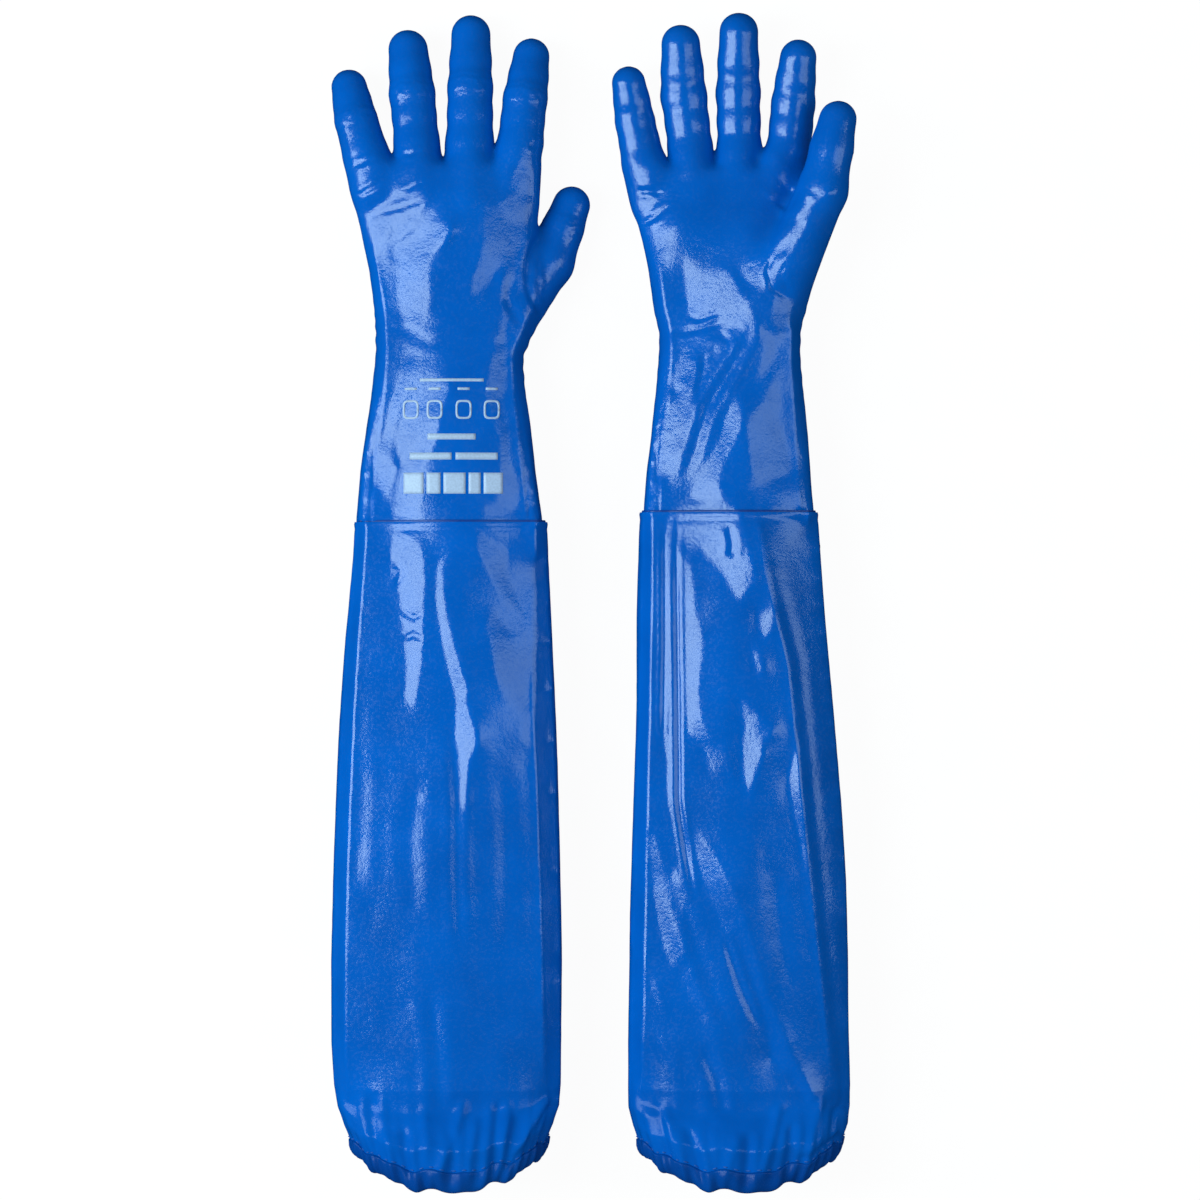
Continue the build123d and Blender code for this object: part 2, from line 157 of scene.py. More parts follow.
def vertex_normals(v, quads):
    a, b, c, d = (v[quads[:, k]] for k in range(4))
    n = np.cross(c - a, d - b)
    out = np.zeros_like(v)
    for k in range(4):
        np.add.at(out, quads[:, k], n)
    return out / np.maximum(np.linalg.norm(out, axis=1, keepdims=True), 1e-9)


def thick_piece(name, v, n, quads, thickness, mats, smooth_inner=None):
    """Closed piece from an open sheet of quads: outer skin, inner skin and rim. Outer uses material 0, inner 1."""
    used, inv = np.unique(quads, return_inverse=True)
    q = inv.reshape(-1, 4)
    ov, on = v[used], n[used]
    iv = ov - on * thickness
    k = len(ov)
    edges = np.concatenate([q[:, [0, 1]], q[:, [1, 2]], q[:, [2, 3]], q[:, [3, 0]]])
    key = np.sort(edges, 1)
    code = key[:, 0].astype(np.int64) * k + key[:, 1]
    _, idx, cnt = np.unique(code, return_index=True, return_counts=True)
    rim = edges[idx[cnt == 1]]
    rim_f = np.stack([rim[:, 1], rim[:, 0], rim[:, 0] + k, rim[:, 1] + k], 1)
    faces = np.concatenate([q, q[:, ::-1] + k, rim_f])
    fm = np.concatenate([np.zeros(len(q)), np.ones(len(q)), np.ones(len(rim_f))])
    return new_mesh(name, np.concatenate([ov, iv]), faces, mats, fm, np.concatenate([on, -on]))


def polyline_field(xy, pts):
    """Distance, signed side and fraction along a polyline for each row of xy."""
    pts = np.array(pts, float)
    seg = pts[1:] - pts[:-1]
    ln = np.linalg.norm(seg, axis=1)
    cum = np.concatenate([[0], np.cumsum(ln)])
    best = np.full(len(xy), 1e9)
    side = np.zeros(len(xy))
    frac = np.zeros(len(xy))
    for a, s, l, c0 in zip(pts[:-1], seg, ln, cum[:-1]):
        w = xy - a
        t = np.clip((w @ s) / (l * l), 0, 1)
        d = w - t[:, None] * s
        dist = np.linalg.norm(d, axis=1)
        cr = s[0] * w[:, 1] - s[1] * w[:, 0]
        m = dist < best
        best[m], side[m], frac[m] = dist[m], np.sign(cr[m]), ((c0 + t * l) / cum[-1])[m]
    return best, side, frac


def crease_field(xy, creases):
    """Sum of creases: (pts in layout pixels, kind, amplitude mm, width mm[, extra])."""
    out = np.zeros(len(xy))
    for row in creases:
        pts, kind, amp, width = row[:4]
        p = [px(*q) for q in pts]
        d, side, t = polyline_field(xy, p)
        near = d < width * 5 + 12
        if not near.any():
            continue
        fade = smooth(np.minimum(t, 1 - t) / 0.22)
        ends = fade[near]
        dn = d[near]
        sn = side[near]
        if kind == "ridge":
            h = amp * np.exp(-((dn / width) ** 2))
        elif kind == "groove":
            h = -amp * np.exp(-((dn / width) ** 2)) + 0.45 * amp * np.exp(-(((dn - 1.9 * width) / width) ** 2))
        elif kind == "edge":
            # sharp crest with a falling plane on one side (side given by sign)
            lean = row[4]
            x = dn * sn * lean
            h = amp * np.exp(-((dn / width) ** 2) ** 0.5 * 1.2) - 0.55 * amp * np.exp(-(((x - 2.6 * width) / (1.5 * width)) ** 2))
        out[near] += h * ends
    return out


# ------------------------------------------------------------------ materials
def srgb(r, g, b):
    def f(c):
        c = c / 255.0
        return c / 12.92 if c <= 0.04045 else ((c + 0.055) / 1.055) ** 2.4
    return (f(r), f(g), f(b), 1.0)


def node_mat(name):
    m = bpy.data.materials.new(name)
    m.use_nodes = True
    nt = m.node_tree
    nt.nodes.clear()
    out = nt.nodes.new("ShaderNodeOutputMaterial")
    bs = nt.nodes.new("ShaderNodeBsdfPrincipled")
    nt.links.new(bs.outputs[0], out.inputs[0])
    tc = nt.nodes.new("ShaderNodeTexCoord")
    return m, nt, bs, tc


def noise_node(nt, tc, scale, detail=2.0, rough=0.5, stretch=None):
    n = nt.nodes.new("ShaderNodeTexNoise")
    n.inputs["Scale"].default_value = scale
    n.inputs["Detail"].default_value = detail
    n.inputs["Roughness"].default_value = rough
    if stretch is not None:
        mp = nt.nodes.new("ShaderNodeMapping")
        mp.inputs["Scale"].default_value = stretch
        nt.links.new(tc.outputs["Object"], mp.inputs[0])
        nt.links.new(mp.outputs[0], n.inputs["Vector"])
    else:
        nt.links.new(tc.outputs["Object"], n.inputs["Vector"])
    return n


def ramp(nt, src, stops):
    r = nt.nodes.new("ShaderNodeValToRGB")
    while len(r.color_ramp.elements) < len(stops):
        r.color_ramp.elements.new(0.5)
    for e, (p, c) in zip(r.color_ramp.elements, stops):
        e.position, e.color = p, c
    nt.links.new(src, r.inputs[0])
    return r


def coated(name, base, dark, light, rough=(0.11, 0.16), grain=0.15, grain_scale=620.0, coat=0.0, pores=0.10, spec=0.5):
    """Glossy dipped nitrile: cloudy colour, varying gloss and a fine pebbled grain."""
    m, nt, bs, tc = node_mat(name)
    cloud = noise_node(nt, tc, 26.0, 4.0, 0.55)
    col = ramp(nt, cloud.outputs[0], [(0.30, dark), (0.52, base), (0.75, light)])
    nt.links.new(col.outputs[0], bs.inputs["Base Color"])
    patch = noise_node(nt, tc, 60.0, 3.0, 0.6)
    mr = nt.nodes.new("ShaderNodeMapRange")
    mr.inputs["From Min"].default_value, mr.inputs["From Max"].default_value = 0.35, 0.65
    mr.inputs["To Min"].default_value, mr.inputs["To Max"].default_value = rough
    nt.links.new(patch.outputs[0], mr.inputs[0])
    fine = noise_node(nt, tc, grain_scale, 2.0, 0.6)
    pore = nt.nodes.new("ShaderNodeMapRange")
    pore.interpolation_type = "SMOOTHSTEP"
    pore.inputs["From Min"].default_value, pore.inputs["From Max"].default_value = 0.50, 0.60
    pore.inputs["To Min"].default_value, pore.inputs["To Max"].default_value = 0.0, pores
    nt.links.new(fine.outputs[0], pore.inputs[0])
    dull = nt.nodes.new("ShaderNodeMath"); dull.operation = "ADD"
    nt.links.new(mr.outputs[0], dull.inputs[0])
    nt.links.new(pore.outputs[0], dull.inputs[1])
    nt.links.new(dull.outputs[0], bs.inputs["Roughness"])
    mid = noise_node(nt, tc, grain_scale * 0.28, 2.0, 0.5)
    add = nt.nodes.new("ShaderNodeMath"); add.operation = "ADD"
    sc = nt.nodes.new("ShaderNodeMath"); sc.operation = "MULTIPLY"; sc.inputs[1].default_value = 0.7
    nt.links.new(mid.outputs[0], sc.inputs[0])
    nt.links.new(fine.outputs[0], add.inputs[0])
    nt.links.new(sc.outputs[0], add.inputs[1])
    bump = nt.nodes.new("ShaderNodeBump")
    bump.inputs["Strength"].default_value = grain
    bump.inputs["Distance"].default_value = 0.0008
    nt.links.new(add.outputs[0], bump.inputs["Height"])
    nt.links.new(bump.outputs[0], bs.inputs["Normal"])
    bs.inputs["Specular IOR Level"].default_value = spec
    bs.inputs["Coat Weight"].default_value = coat
    bs.inputs["Coat Roughness"].default_value = 0.12
    return m


def knit(name, base, dark):
    m, nt, bs, tc = node_mat(name)
    wave = nt.nodes.new("ShaderNodeTexWave")
    wave.wave_type, wave.bands_direction = "BANDS", "X"
    wave.inputs["Scale"].default_value = 320.0
    wave.inputs["Distortion"].default_value = 3.0
    wave.inputs["Detail"].default_value = 1.0
    nt.links.new(tc.outputs["Object"], wave.inputs["Vector"])
    wave2 = nt.nodes.new("ShaderNodeTexWave")
    wave2.wave_type, wave2.bands_direction = "BANDS", "Y"
    wave2.inputs["Scale"].default_value = 260.0
    wave2.inputs["Distortion"].default_value = 2.0
    nt.links.new(tc.outputs["Object"], wave2.inputs["Vector"])
    mul = nt.nodes.new("ShaderNodeMath"); mul.operation = "MULTIPLY"
    nt.links.new(wave.outputs[1], mul.inputs[0])
    nt.links.new(wave2.outputs[1], mul.inputs[1])
    col = ramp(nt, mul.outputs[0], [(0.0, dark), (0.6, base)])
    nt.links.new(col.outputs[0], bs.inputs["Base Color"])
    bs.inputs["Roughness"].default_value = 0.92
    bs.inputs["Sheen Weight"].default_value = 0.25
    bump = nt.nodes.new("ShaderNodeBump")
    bump.inputs["Strength"].default_value = 0.6
    bump.inputs["Distance"].default_value = 0.0008
    nt.links.new(mul.outputs[0], bump.inputs["Height"])
    nt.links.new(bump.outputs[0], bs.inputs["Normal"])
    return m


M_GLOVE = coated("glove_coating", srgb(0, 96, 194), srgb(0, 91, 186), srgb(0, 101, 202), grain=0.14)
M_SLEEVE = coated("sleeve_coating", srgb(0, 96, 194), srgb(0, 91, 186), srgb(0, 101, 202), rough=(0.11, 0.15), grain=0.12, grain_scale=600.0)
# gather coating: a little darker than the sleeve film as painted shade toward the gathered end, with a lower specular
# level
M_GATHER_PAINTED_SHADE = coated("gather_coating_painted_shade", srgb(0, 93, 189), srgb(0, 86, 178), srgb(0, 98, 197), rough=(0.13, 0.18), grain=0.12, grain_scale=600.0, spec=0.14)
M_INNER = coated("sleeve_inside", srgb(12, 74, 160), srgb(8, 62, 142), srgb(22, 88, 178), rough=(0.5, 0.7), grain=0.12, coat=0.0)
# hem coating: its darker blue is painted shade of the gathered lower end of the sleeve; the low specular level is a
# duller film
M_HEM_PAINTED_SHADE = coated("hem_coating_painted_shade", srgb(0, 70, 152), srgb(0, 60, 138), srgb(0, 80, 168), rough=(0.2, 0.3), grain=0.12, grain_scale=900.0, spec=0.12)
M_KNIT = knit("liner_knit", srgb(226, 226, 220), srgb(170, 172, 170))


def plain(name, col, rough, scale=400.0, strength=0.2):
    m, nt, bs, tc = node_mat(name)
    n = noise_node(nt, tc, scale, 3.0)
    c2 = tuple(0.82 * x for x in col[:3]) + (1.0,)
    r = ramp(nt, n.outputs[0], [(0.3, c2), (0.7, col)])
    nt.links.new(r.outputs[0], bs.inputs["Base Color"])
    bs.inputs["Roughness"].default_value = rough
    b = nt.nodes.new("ShaderNodeBump")
    b.inputs["Strength"].default_value = strength
    b.inputs["Distance"].default_value = 0.0004
    nt.links.new(n.outputs[0], b.inputs["Height"])
    nt.links.new(b.outputs[0], bs.inputs["Normal"])
    return m


M_PRINT = plain("print_ink", srgb(186, 206, 236), 0.45, 900.0, 0.1)
M_THREAD = plain("stitch_thread", srgb(26, 98, 190), 0.6, 2500.0, 0.5)
M_ELASTIC = plain("elastic_web", srgb(215, 215, 212), 0.85, 1800.0, 0.6)
M_BAND = coated("lap_adhesive", srgb(2, 62, 150), srgb(0, 52, 136), srgb(6, 76, 170), rough=(0.3, 0.45), grain=0.08)


# ------------------------------------------------------------------ hand skin from a distance field
def smin(a, b, k):
    h = np.clip(0.5 + 0.5 * (b - a) / k, 0, 1)
    return b * (1 - h) + a * h - k * h * (1 - h)


def cone_dist(P, a, b, ra, rb, flat=1.0):
    """Distance to a round cone from a to b; flat < 1 makes it lower than it is wide."""
    a, b = np.array(a, float), np.array(b, float)
    ab = b - a
    t = np.clip(((P - a) @ ab) / (ab @ ab), 0, 1)
    q = P - (a + t[..., None] * ab)
    q = q * np.array([1.0, 1.0, 1.0 / flat])
    return np.sqrt((q * q).sum(-1)) - (ra + (rb - ra) * t)


def oval_dist(P, table, end):
    y = P[..., 1]
    ys = [r[0] for r in table]
    cx, hw, cz, hz = (np.interp(y, ys, [r[k] for r in table]) for k in (1, 2, 3, 4))
    dx, dz = (P[..., 0] - cx) / hw, (P[..., 2] - cz) / hz
    # slightly boxy oval, as a lined glove lies
    e = 2.25
    rho = (np.abs(dx) ** e + np.abs(dz) ** e) ** (1 / e) + 1e-6
    g = np.sqrt((dx / hw) ** 2 + (dz / hz) ** 2) / np.maximum(np.sqrt(dx * dx + dz * dz), 1e-6)
    d = (rho - 1) / np.maximum(g, 1e-6)
    return -smin(-d, -(y - end), 7.0)


def hand_skin(side):
    """Outer skin of gauntlet, palm, fingers and thumb: vertices and quads."""
    table = PALM[side]
    xs = {"left": (-152, 12), "right": (6, 156)}[side]
    y0, y1 = table[0][0] - 6.0, 332.0
    h = 1.3
    zr = (-4.0, 68.0)
    gx, gy, gz = (np.arange(a, b, h) for a, b in (xs, (y0, y1), zr))
    P = np.stack(np.meshgrid(gx, gy, gz, indexing="ij"), -1).astype(np.float32)
    d_palm = oval_dist(P, table, PALM_END[side])
    s = -1.0 if side == "left" else 1.0
    fingers = None
    for name, (K, M, T, r, reach) in FING[side].items():
        K, M, T = map(lambda q: np.array(q, float), (K, M, T))
        d1 = (M - K) / np.linalg.norm(M - K)
        d2 = (T - M) / np.linalg.norm(T - M)
        tip = T - d2 * r[2]
        if name == "thumb":
            start, mr = np.array(MOUND[side][0], float), MOUND[side][1]
            d = cone_dist(P, start, K, mr, r[0], 1.0)
            d = smin(d, cone_dist(P, K, M, r[0], r[1]), 4.0)
            # the soft pad of the thumb and a slimmer waist at its middle joint
            d = smin(d, cone_dist(P, M, tip, r[1] - 0.5, r[2]), 3.0)
            pad = (M + tip) / 2 + d2 * 3 + np.array([0, 0, s * 1.4])
            d = smin(d, cone_dist(P, pad - d2 * 4, pad + d2 * 4, r[2] - 0.4, r[2] - 0.8), 3.0)
            thumb = d
            continue
        root = K - d1 * reach
        d = cone_dist(P, root, K, r[0] * 0.98, r[0], 0.97)
        mid = (K + M) / 2
        d = smin(d, cone_dist(P, K, mid, r[0], (r[0] + r[1]) / 2 - 0.25, 0.96), 3.0)
        d = smin(d, cone_dist(P, mid, M, (r[0] + r[1]) / 2 - 0.25, r[1] + 0.1, 0.96), 3.0)
        q = M + (tip - M) * 0.5
        d = smin(d, cone_dist(P, M, q, r[1] + 0.1, (r[1] + r[2]) / 2 - 0.1, 0.95), 3.0)
        d = smin(d, cone_dist(P, q, tip, (r[1] + r[2]) / 2 - 0.1, r[2], 0.95), 3.0)
        # fingertip pad on the palm side
        d = smin(d, cone_dist(P, q + np.array([0, 0, s * 1.2]), tip + np.array([0, 0, s * 0.6]), r[2] - 0.9, r[2] - 0.9), 3.0)
        fingers = d if fingers is None else smin(fingers, d, 1.6)
    D = smin(d_palm, fingers, 5.0)
    D = smin(D, thumb, 9.0 if side == "right" else 8.0)
    if side == "right":
        # heel of the hand opposite the thumb, and the hollow of the palm
        heel = cone_dist(P, (52, 165, 26), (50, 205, 24), 14, 13, 0.9)
        D = smin(D, heel, 10.0)
        hollow = cone_dist(P, (76, 180, 66), (74, 222, 62), 22, 21, 1.0)
        D = -smin(-D, hollow, 8.0)
        # pads under the finger roots
        for x, y, z in ((34, 238, 24), (56, 243, 24.5), (80, 244, 24.5), (103, 242, 24.0)):
            D = smin(D, cone_dist(P, (x, y - 4, z), (x, y + 1, z), 8.6, 8.6), 6.0)
    else:
        for x, y in ((-120, 236), (-96, 244), (-68, 246), (-42, 242)):
            D = smin(D, cone_dist(P, (x, y - 7, 27.5), (x, y + 4, 27.5), 10.4, 10.2), 6.0)
    # open end of the gauntlet
    D = np.maximum(D, (table[0][0] - P[..., 1]))
    grid = vdb.FloatGrid(3.0)
    grid.copyFromArray(np.ascontiguousarray(np.clip(D, -3 * h, 3 * h).astype(np.float64)))
    grid.transform = vdb.createLinearTransform(voxelSize=1.0)
    v, q = grid.convertToQuads(0.0)
    v = np.asarray(v, float) * h + np.array([xs[0], y0, zr[0]])
    q = np.asarray(q, int)
    n = vertex_normals(v, q)
    # outward test: a point moved along its normal must leave the body
    mid_z = np.interp(v[:, 1], [r[0] for r in table], [r[3] for r in table])
    if np.mean(n[:, 2] * np.sign(v[:, 2] - mid_z)) < 0:
        q = q[:, ::-1].copy()
        n = -n
    # drop the flat cap at the gauntlet's open end
    cy = v[q].mean(1)[:, 1]
    fn = np.abs(n[q].mean(1)[:, 1])
    keep = ~((cy < table[0][0] + 0.9) & (fn > 0.35))
    q = q[keep]
    return v, q


def relax(v, q, rounds, amount=0.5):
    """Laplacian smoothing over quad edges."""
    e = np.concatenate([q[:, [0, 1]], q[:, [1, 2]], q[:, [2, 3]], q[:, [3, 0]]])
    e = np.concatenate([e, e[:, ::-1]])
    cnt = np.bincount(e[:, 0], minlength=len(v)).astype(float)
    for _ in range(rounds):
        acc = np.zeros_like(v)
        for k in range(3):
            acc[:, k] = np.bincount(e[:, 0], weights=v[e[:, 1], k], minlength=len(v))
        m = cnt > 0
        v = v.copy()
        v[m] += amount * (acc[m] / cnt[m][:, None] - v[m])
    return v


HAND_CREASES = {
    "left": [
        ([(392, 322), (430, 344), (476, 350), (520, 338)], "groove", 0.16, 3.0),
        ([(524, 331), (508, 300), (512, 272)], "groove", 0.5, 2.6),
        ([(545, 318), (530, 296), (524, 262)], "groove", 0.6, 1.8),
        ([(538, 232), (528, 262), (532, 286)], "groove", 0.8, 2.0),
        ([(352, 166), (362, 163), (374, 158)], "groove", 0.5, 1.2),
        ([(356, 196), (368, 190), (382, 183)], "groove", 0.6, 1.3),
        ([(402, 155), (412, 154), (422, 150)], "groove", 0.5, 1.2),
        ([(404, 192), (412, 188), (424, 182)], "groove", 0.3, 1.3),
        ([(530, 144), (532, 146), (538, 144)], "groove", 0.5, 1.3),
        ([(540, 258), (542, 280), (540, 296)], "ridge", 0.5, 1.6),
        ([(374, 214), (402, 208), (426, 200)], "groove", 0.2, 1.2),
    ],
    "right": [
        ([(773, 255), (766, 272), (772, 290), (790, 300)], "groove", 0.55, 1.3),
        ([(786, 262), (780, 276), (788, 292)], "groove", 0.25, 1.3),
        ([(795, 186), (788, 200), (780, 210)], "groove", 1.3, 5.0),
        ([(636, 190), (648, 190), (662, 192)], "groove", 0.6, 1.5),
        ([(640, 224), (656, 216), (672, 204)], "groove", 0.6, 1.5),
        ([(684, 316), (700, 320), (722, 311)], "groove", 0.3, 1.4),
        ([(672, 334), (694, 331), (724, 322)], "groove", 0.4, 1.5),
        ([(722, 332), (728, 345), (724, 358)], "groove", 0.3, 1.8),
        ([(704, 350), (702, 375), (696, 400)], "groove", 0.5, 2.0),
        ([(756, 326), (730, 370), (706, 410), (694, 450), (680, 486)], "groove", 0.9, 3.0),
        ([(812, 236), (826, 240), (838, 226), (834, 206)], "ridge", 0.4, 2.0),
        ([(842, 232), (846, 218), (852, 212)], "groove", 0.5, 1.3),
    ],
}
FINGER_ZONE = {
    "left": {"little": (7.4, 8.0), "ring": (7.0, 10.0), "middle": (7.0, 10.0), "index": (7.0, 9.0), "thumb": (8.0, 8.0)},
    "right": {"little": (7.8, 8.0), "ring": (6.2, 10.0), "middle": (5.8, 10.0), "index": (7.0, 10.0), "thumb": (8.0, 9.0)},
}


def detail_hand(side, v, q):
    """Creases, joint wrinkles, folds and unevenness pressed into the skin."""
    v = relax(v, q, 2, 0.45)
    n = vertex_normals(v, q)
    s = -1.0 if side == "left" else 1.0
    disp = np.zeros(len(v))
    up = smooth((n[:, 2] - 0.05) / 0.45)
    RELIEF[side] = glove_relief(side, v, n)
    top = RELIEF[side].at(v[:, 0], v[:, 1]) * smooth((n[:, 2] - 0.05) / 0.25)
    disp += crease_field(v[:, :2], HAND_CREASES[side]) * up
    for name, (K, M, T, r, reach) in FING[side].items():
        K, M, T = (np.array(p, float) for p in (K, M, T))
        near = (np.abs(v[:, 0] - K[0]) < 40) & (v[:, 1] > K[1] - 30)
        idx = np.nonzero(near)[0]
        p = v[idx]
        # along the finger's own line
        d1 = (M - K) / np.linalg.norm(M - K)
        d2 = (T - M) / np.linalg.norm(T - M)
        L1 = np.linalg.norm(M - K)
        L2 = np.linalg.norm(T - M)
        t1, t2 = (p - K) @ d1, (p - M) @ d2
        on2 = t2 > 0
        along = np.where(on2, L1 + t2, np.minimum(t1, L1 + 0.0))
        axis_pt = np.where(on2[:, None], M + t2[:, None] * d2, K + t1[:, None] * d1)
        off = p - axis_pt
        rad = np.linalg.norm(off, axis=1)
        mine = rad < (r[0] + 4.0)
        ang = np.arctan2(off[:, 2], off[:, 0])
        palm_side = smooth((s * np.sin(ang) + 0.35) / 0.9)
        back_side = smooth((-s * np.sin(ang) + 0.25) / 0.9)
        seed = hash_name(side + name)
        wob = value_noise(np.stack([ang * 2.2 * 3, along * 0.12, np.full(len(p), seed % 17)], 1), 1.0, seed % 97) * 1.3
        g = np.zeros(len(p))
        for s0, amp, wid, where in (
            (L1 - 3.4, 0.20, 0.95, "b"), (L1 - 0.4, 0.26, 1.05, "b"), (L1 + 3.0, 0.20, 0.95, "b"),
            (L1 + (L2 - r[2]) * 0.52, 0.12, 0.9, "b"), (L1 + (L2 - r[2]) * 0.60, 0.12, 0.9, "b"),
            (L1 - 1.0, 0.02, 1.1, "p"),
            
        ):
            x = along - s0 + wob
            side_w = back_side if where == "b" else palm_side
            g -= amp * np.exp(-((x / wid) ** 2)) * side_w
            g += 0.4 * amp * np.exp(-(((np.abs(x) - 1.9 * wid) / wid) ** 2)) * side_w
        disp[idx] += np.where(mine, g, 0.0)
    # wrist: rings of soft compression folds, broken up round the arm
    wy = v[:, 1] + 2.6 * value_noise(v, 24.0, 5) + 0.10 * np.abs(v[:, 0] - np.interp(v[:, 1], [r[0] for r in PALM[side]], [r[1] for r in PALM[side]]))
    env = np.exp(-(((v[:, 1] - 141) / 22.0) ** 2))
    disp += env * 0.34 * np.sin(wy * 2 * math.pi / 8.5) * (0.55 + 0.45 * value_noise(v, 14.0, 9)) * (1 - 0.93 * up)
    # hand-made unevenness of the dipped coating
    disp += 0.22 * value_noise(v, 22.0, 11) + 0.10 * value_noise(v, 9.0, 12) + 0.05 * value_noise(v, 4.0, 13)
    # long soft folds of the gauntlet
    g_env = smooth((128 - v[:, 1]) / 30.0)
    disp += g_env * (0.9 - 0.65 * up) * value_noise(v * np.array([1.0, 0.28, 1.0]), 17.0, 21)
    v = v + n * disp[:, None]
    v[:, 2] += top
    v[:, 2] = np.where(v[:, 2] < 0.6, 0.6 + 0.15 * (v[:, 2] - 0.6), v[:, 2])
    return v, vertex_normals(v, q)


def hash_name(s):
    x = 7
    for c in s:
        x = (x * 31 + ord(c)) & 0xFFFF
    return x


def face_pairs(q):
    """Pairs of faces that share an edge."""
    edges = np.concatenate([q[:, [0, 1]], q[:, [1, 2]], q[:, [2, 3]], q[:, [3, 0]]])
    face = np.tile(np.arange(len(q)), 4)
    key = np.sort(edges, 1)
    order = np.lexsort((key[:, 1], key[:, 0]))
    key, face = key[order], face[order]
    same = (key[1:] == key[:-1]).all(1)
    return face[1:][same], face[:-1][same]


def keep_main(piece, k, pairs):
    """Gives back to the palm any patch of piece k that isn't joined to its main patch."""
    a, b = pairs
    both = (piece[a] == k) & (piece[b] == k)
    a, b = a[both], b[both]
    lab = np.arange(len(piece))
    for _ in range(2000):
        m = np.minimum(lab[a], lab[b])
        new = lab.copy()
        np.minimum.at(new, a, m)
        np.minimum.at(new, b, m)
        if (new == lab).all():
            break
        lab = new
    idx = np.nonzero(piece == k)[0]
    vals, cnt = np.unique(lab[idx], return_counts=True)
    if len(vals) > 1:
        piece[idx[lab[idx] != vals[np.argmax(cnt)]]] = 0


def build_hand(side):
    v, q = hand_skin(side)
    v, n = detail_hand(side, v, q)
    fc = v[q].mean(1)
    piece = np.zeros(len(q), int)
    names = ["index", "middle", "ring", "little", "thumb"]
    best = np.full(len(q), 1e9)
    for k, name in enumerate(names):
        K, M, T, r, reach = FING[side][name]
        K, M, T = (np.array(p, float) for p in (K, M, T))
        d1 = (M - K) / np.linalg.norm(M - K)
        d2 = (T - M) / np.linalg.norm(T - M)
        zk, zm = FINGER_ZONE[side][name]
        L1 = np.linalg.norm(M - K)
        t1 = (fc - K) @ d1
        t2 = (fc - M) @ d2
        pt = np.where((t2 > 0)[:, None], M + t2[:, None] * d2, K + t1[:, None] * d1)
        rad = np.linalg.norm(fc - pt, axis=1)
        lim = r[0] + (6.0 if name != "thumb" else 5.0)
        mine = (t1 > -zk - 0.4) & (rad < lim) & (rad < best)
        if name == "thumb":
            mine &= (fc[:, 1] < 300)
            if side == "left":
                # beyond the knuckle the web beside the thumb stays with the palm
                mine &= (t1 < 4) | (rad < r[0] + 2.0)
                mine &= (t1 < (zk_end(side, name) + (L1 - zm)) / 2) | (rad < r[1] + 2.2)
        best[mine] = rad[mine]
        cut = (zk_end(side, name) + (L1 - zm)) / 2
        far = t1 > cut
        piece[mine & ~far] = 1 + 2 * k
        piece[mine & far] = 2 + 2 * k
    pairs = face_pairs(q)
    for k in range(1, 11):
        keep_main(piece, k, pairs)
    out = {}
    thick = 2.8
    body = thick_piece(side + "_palm_skin", v, n, q[piece == 0], thick, [M_GLOVE, M_KNIT])
    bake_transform(body)
    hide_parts(side + "_hand_shell", side + "_hand_liner", side + "_gauntlet_shell")
    for k, name in enumerate(names):
        K, M, T, r, reach = FING[side][name]
        K, M, T = (np.array(p, float) for p in (K, M, T))
        d1 = (M - K) / np.linalg.norm(M - K)
        d2 = (T - M) / np.linalg.norm(T - M)
        zk, zm = FINGER_ZONE[side][name]
        a = thick_piece(side + "_" + name + "_base_skin", v, n, q[piece == 1 + 2 * k], thick, [M_GLOVE, M_KNIT])
        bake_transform(a)
        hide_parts(side + "_" + name + "_base_shell", side + "_" + name + "_base_liner")
        b = thick_piece(side + "_" + name + "_tip_skin", v, n, q[piece == 2 + 2 * k], thick, [M_GLOVE, M_KNIT])
        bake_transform(b)
        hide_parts(side + "_" + name + "_tip_shell", side + "_" + name + "_tip_liner")
    return v, n, q, body


def zk_end(side, name):
    K, M = (np.array(p, float) for p in FING[side][name][:2])
    L1 = np.linalg.norm(M - K)
    zm = FINGER_ZONE[side][name][1]
    return min(9.5, L1 - zm - 1.6)


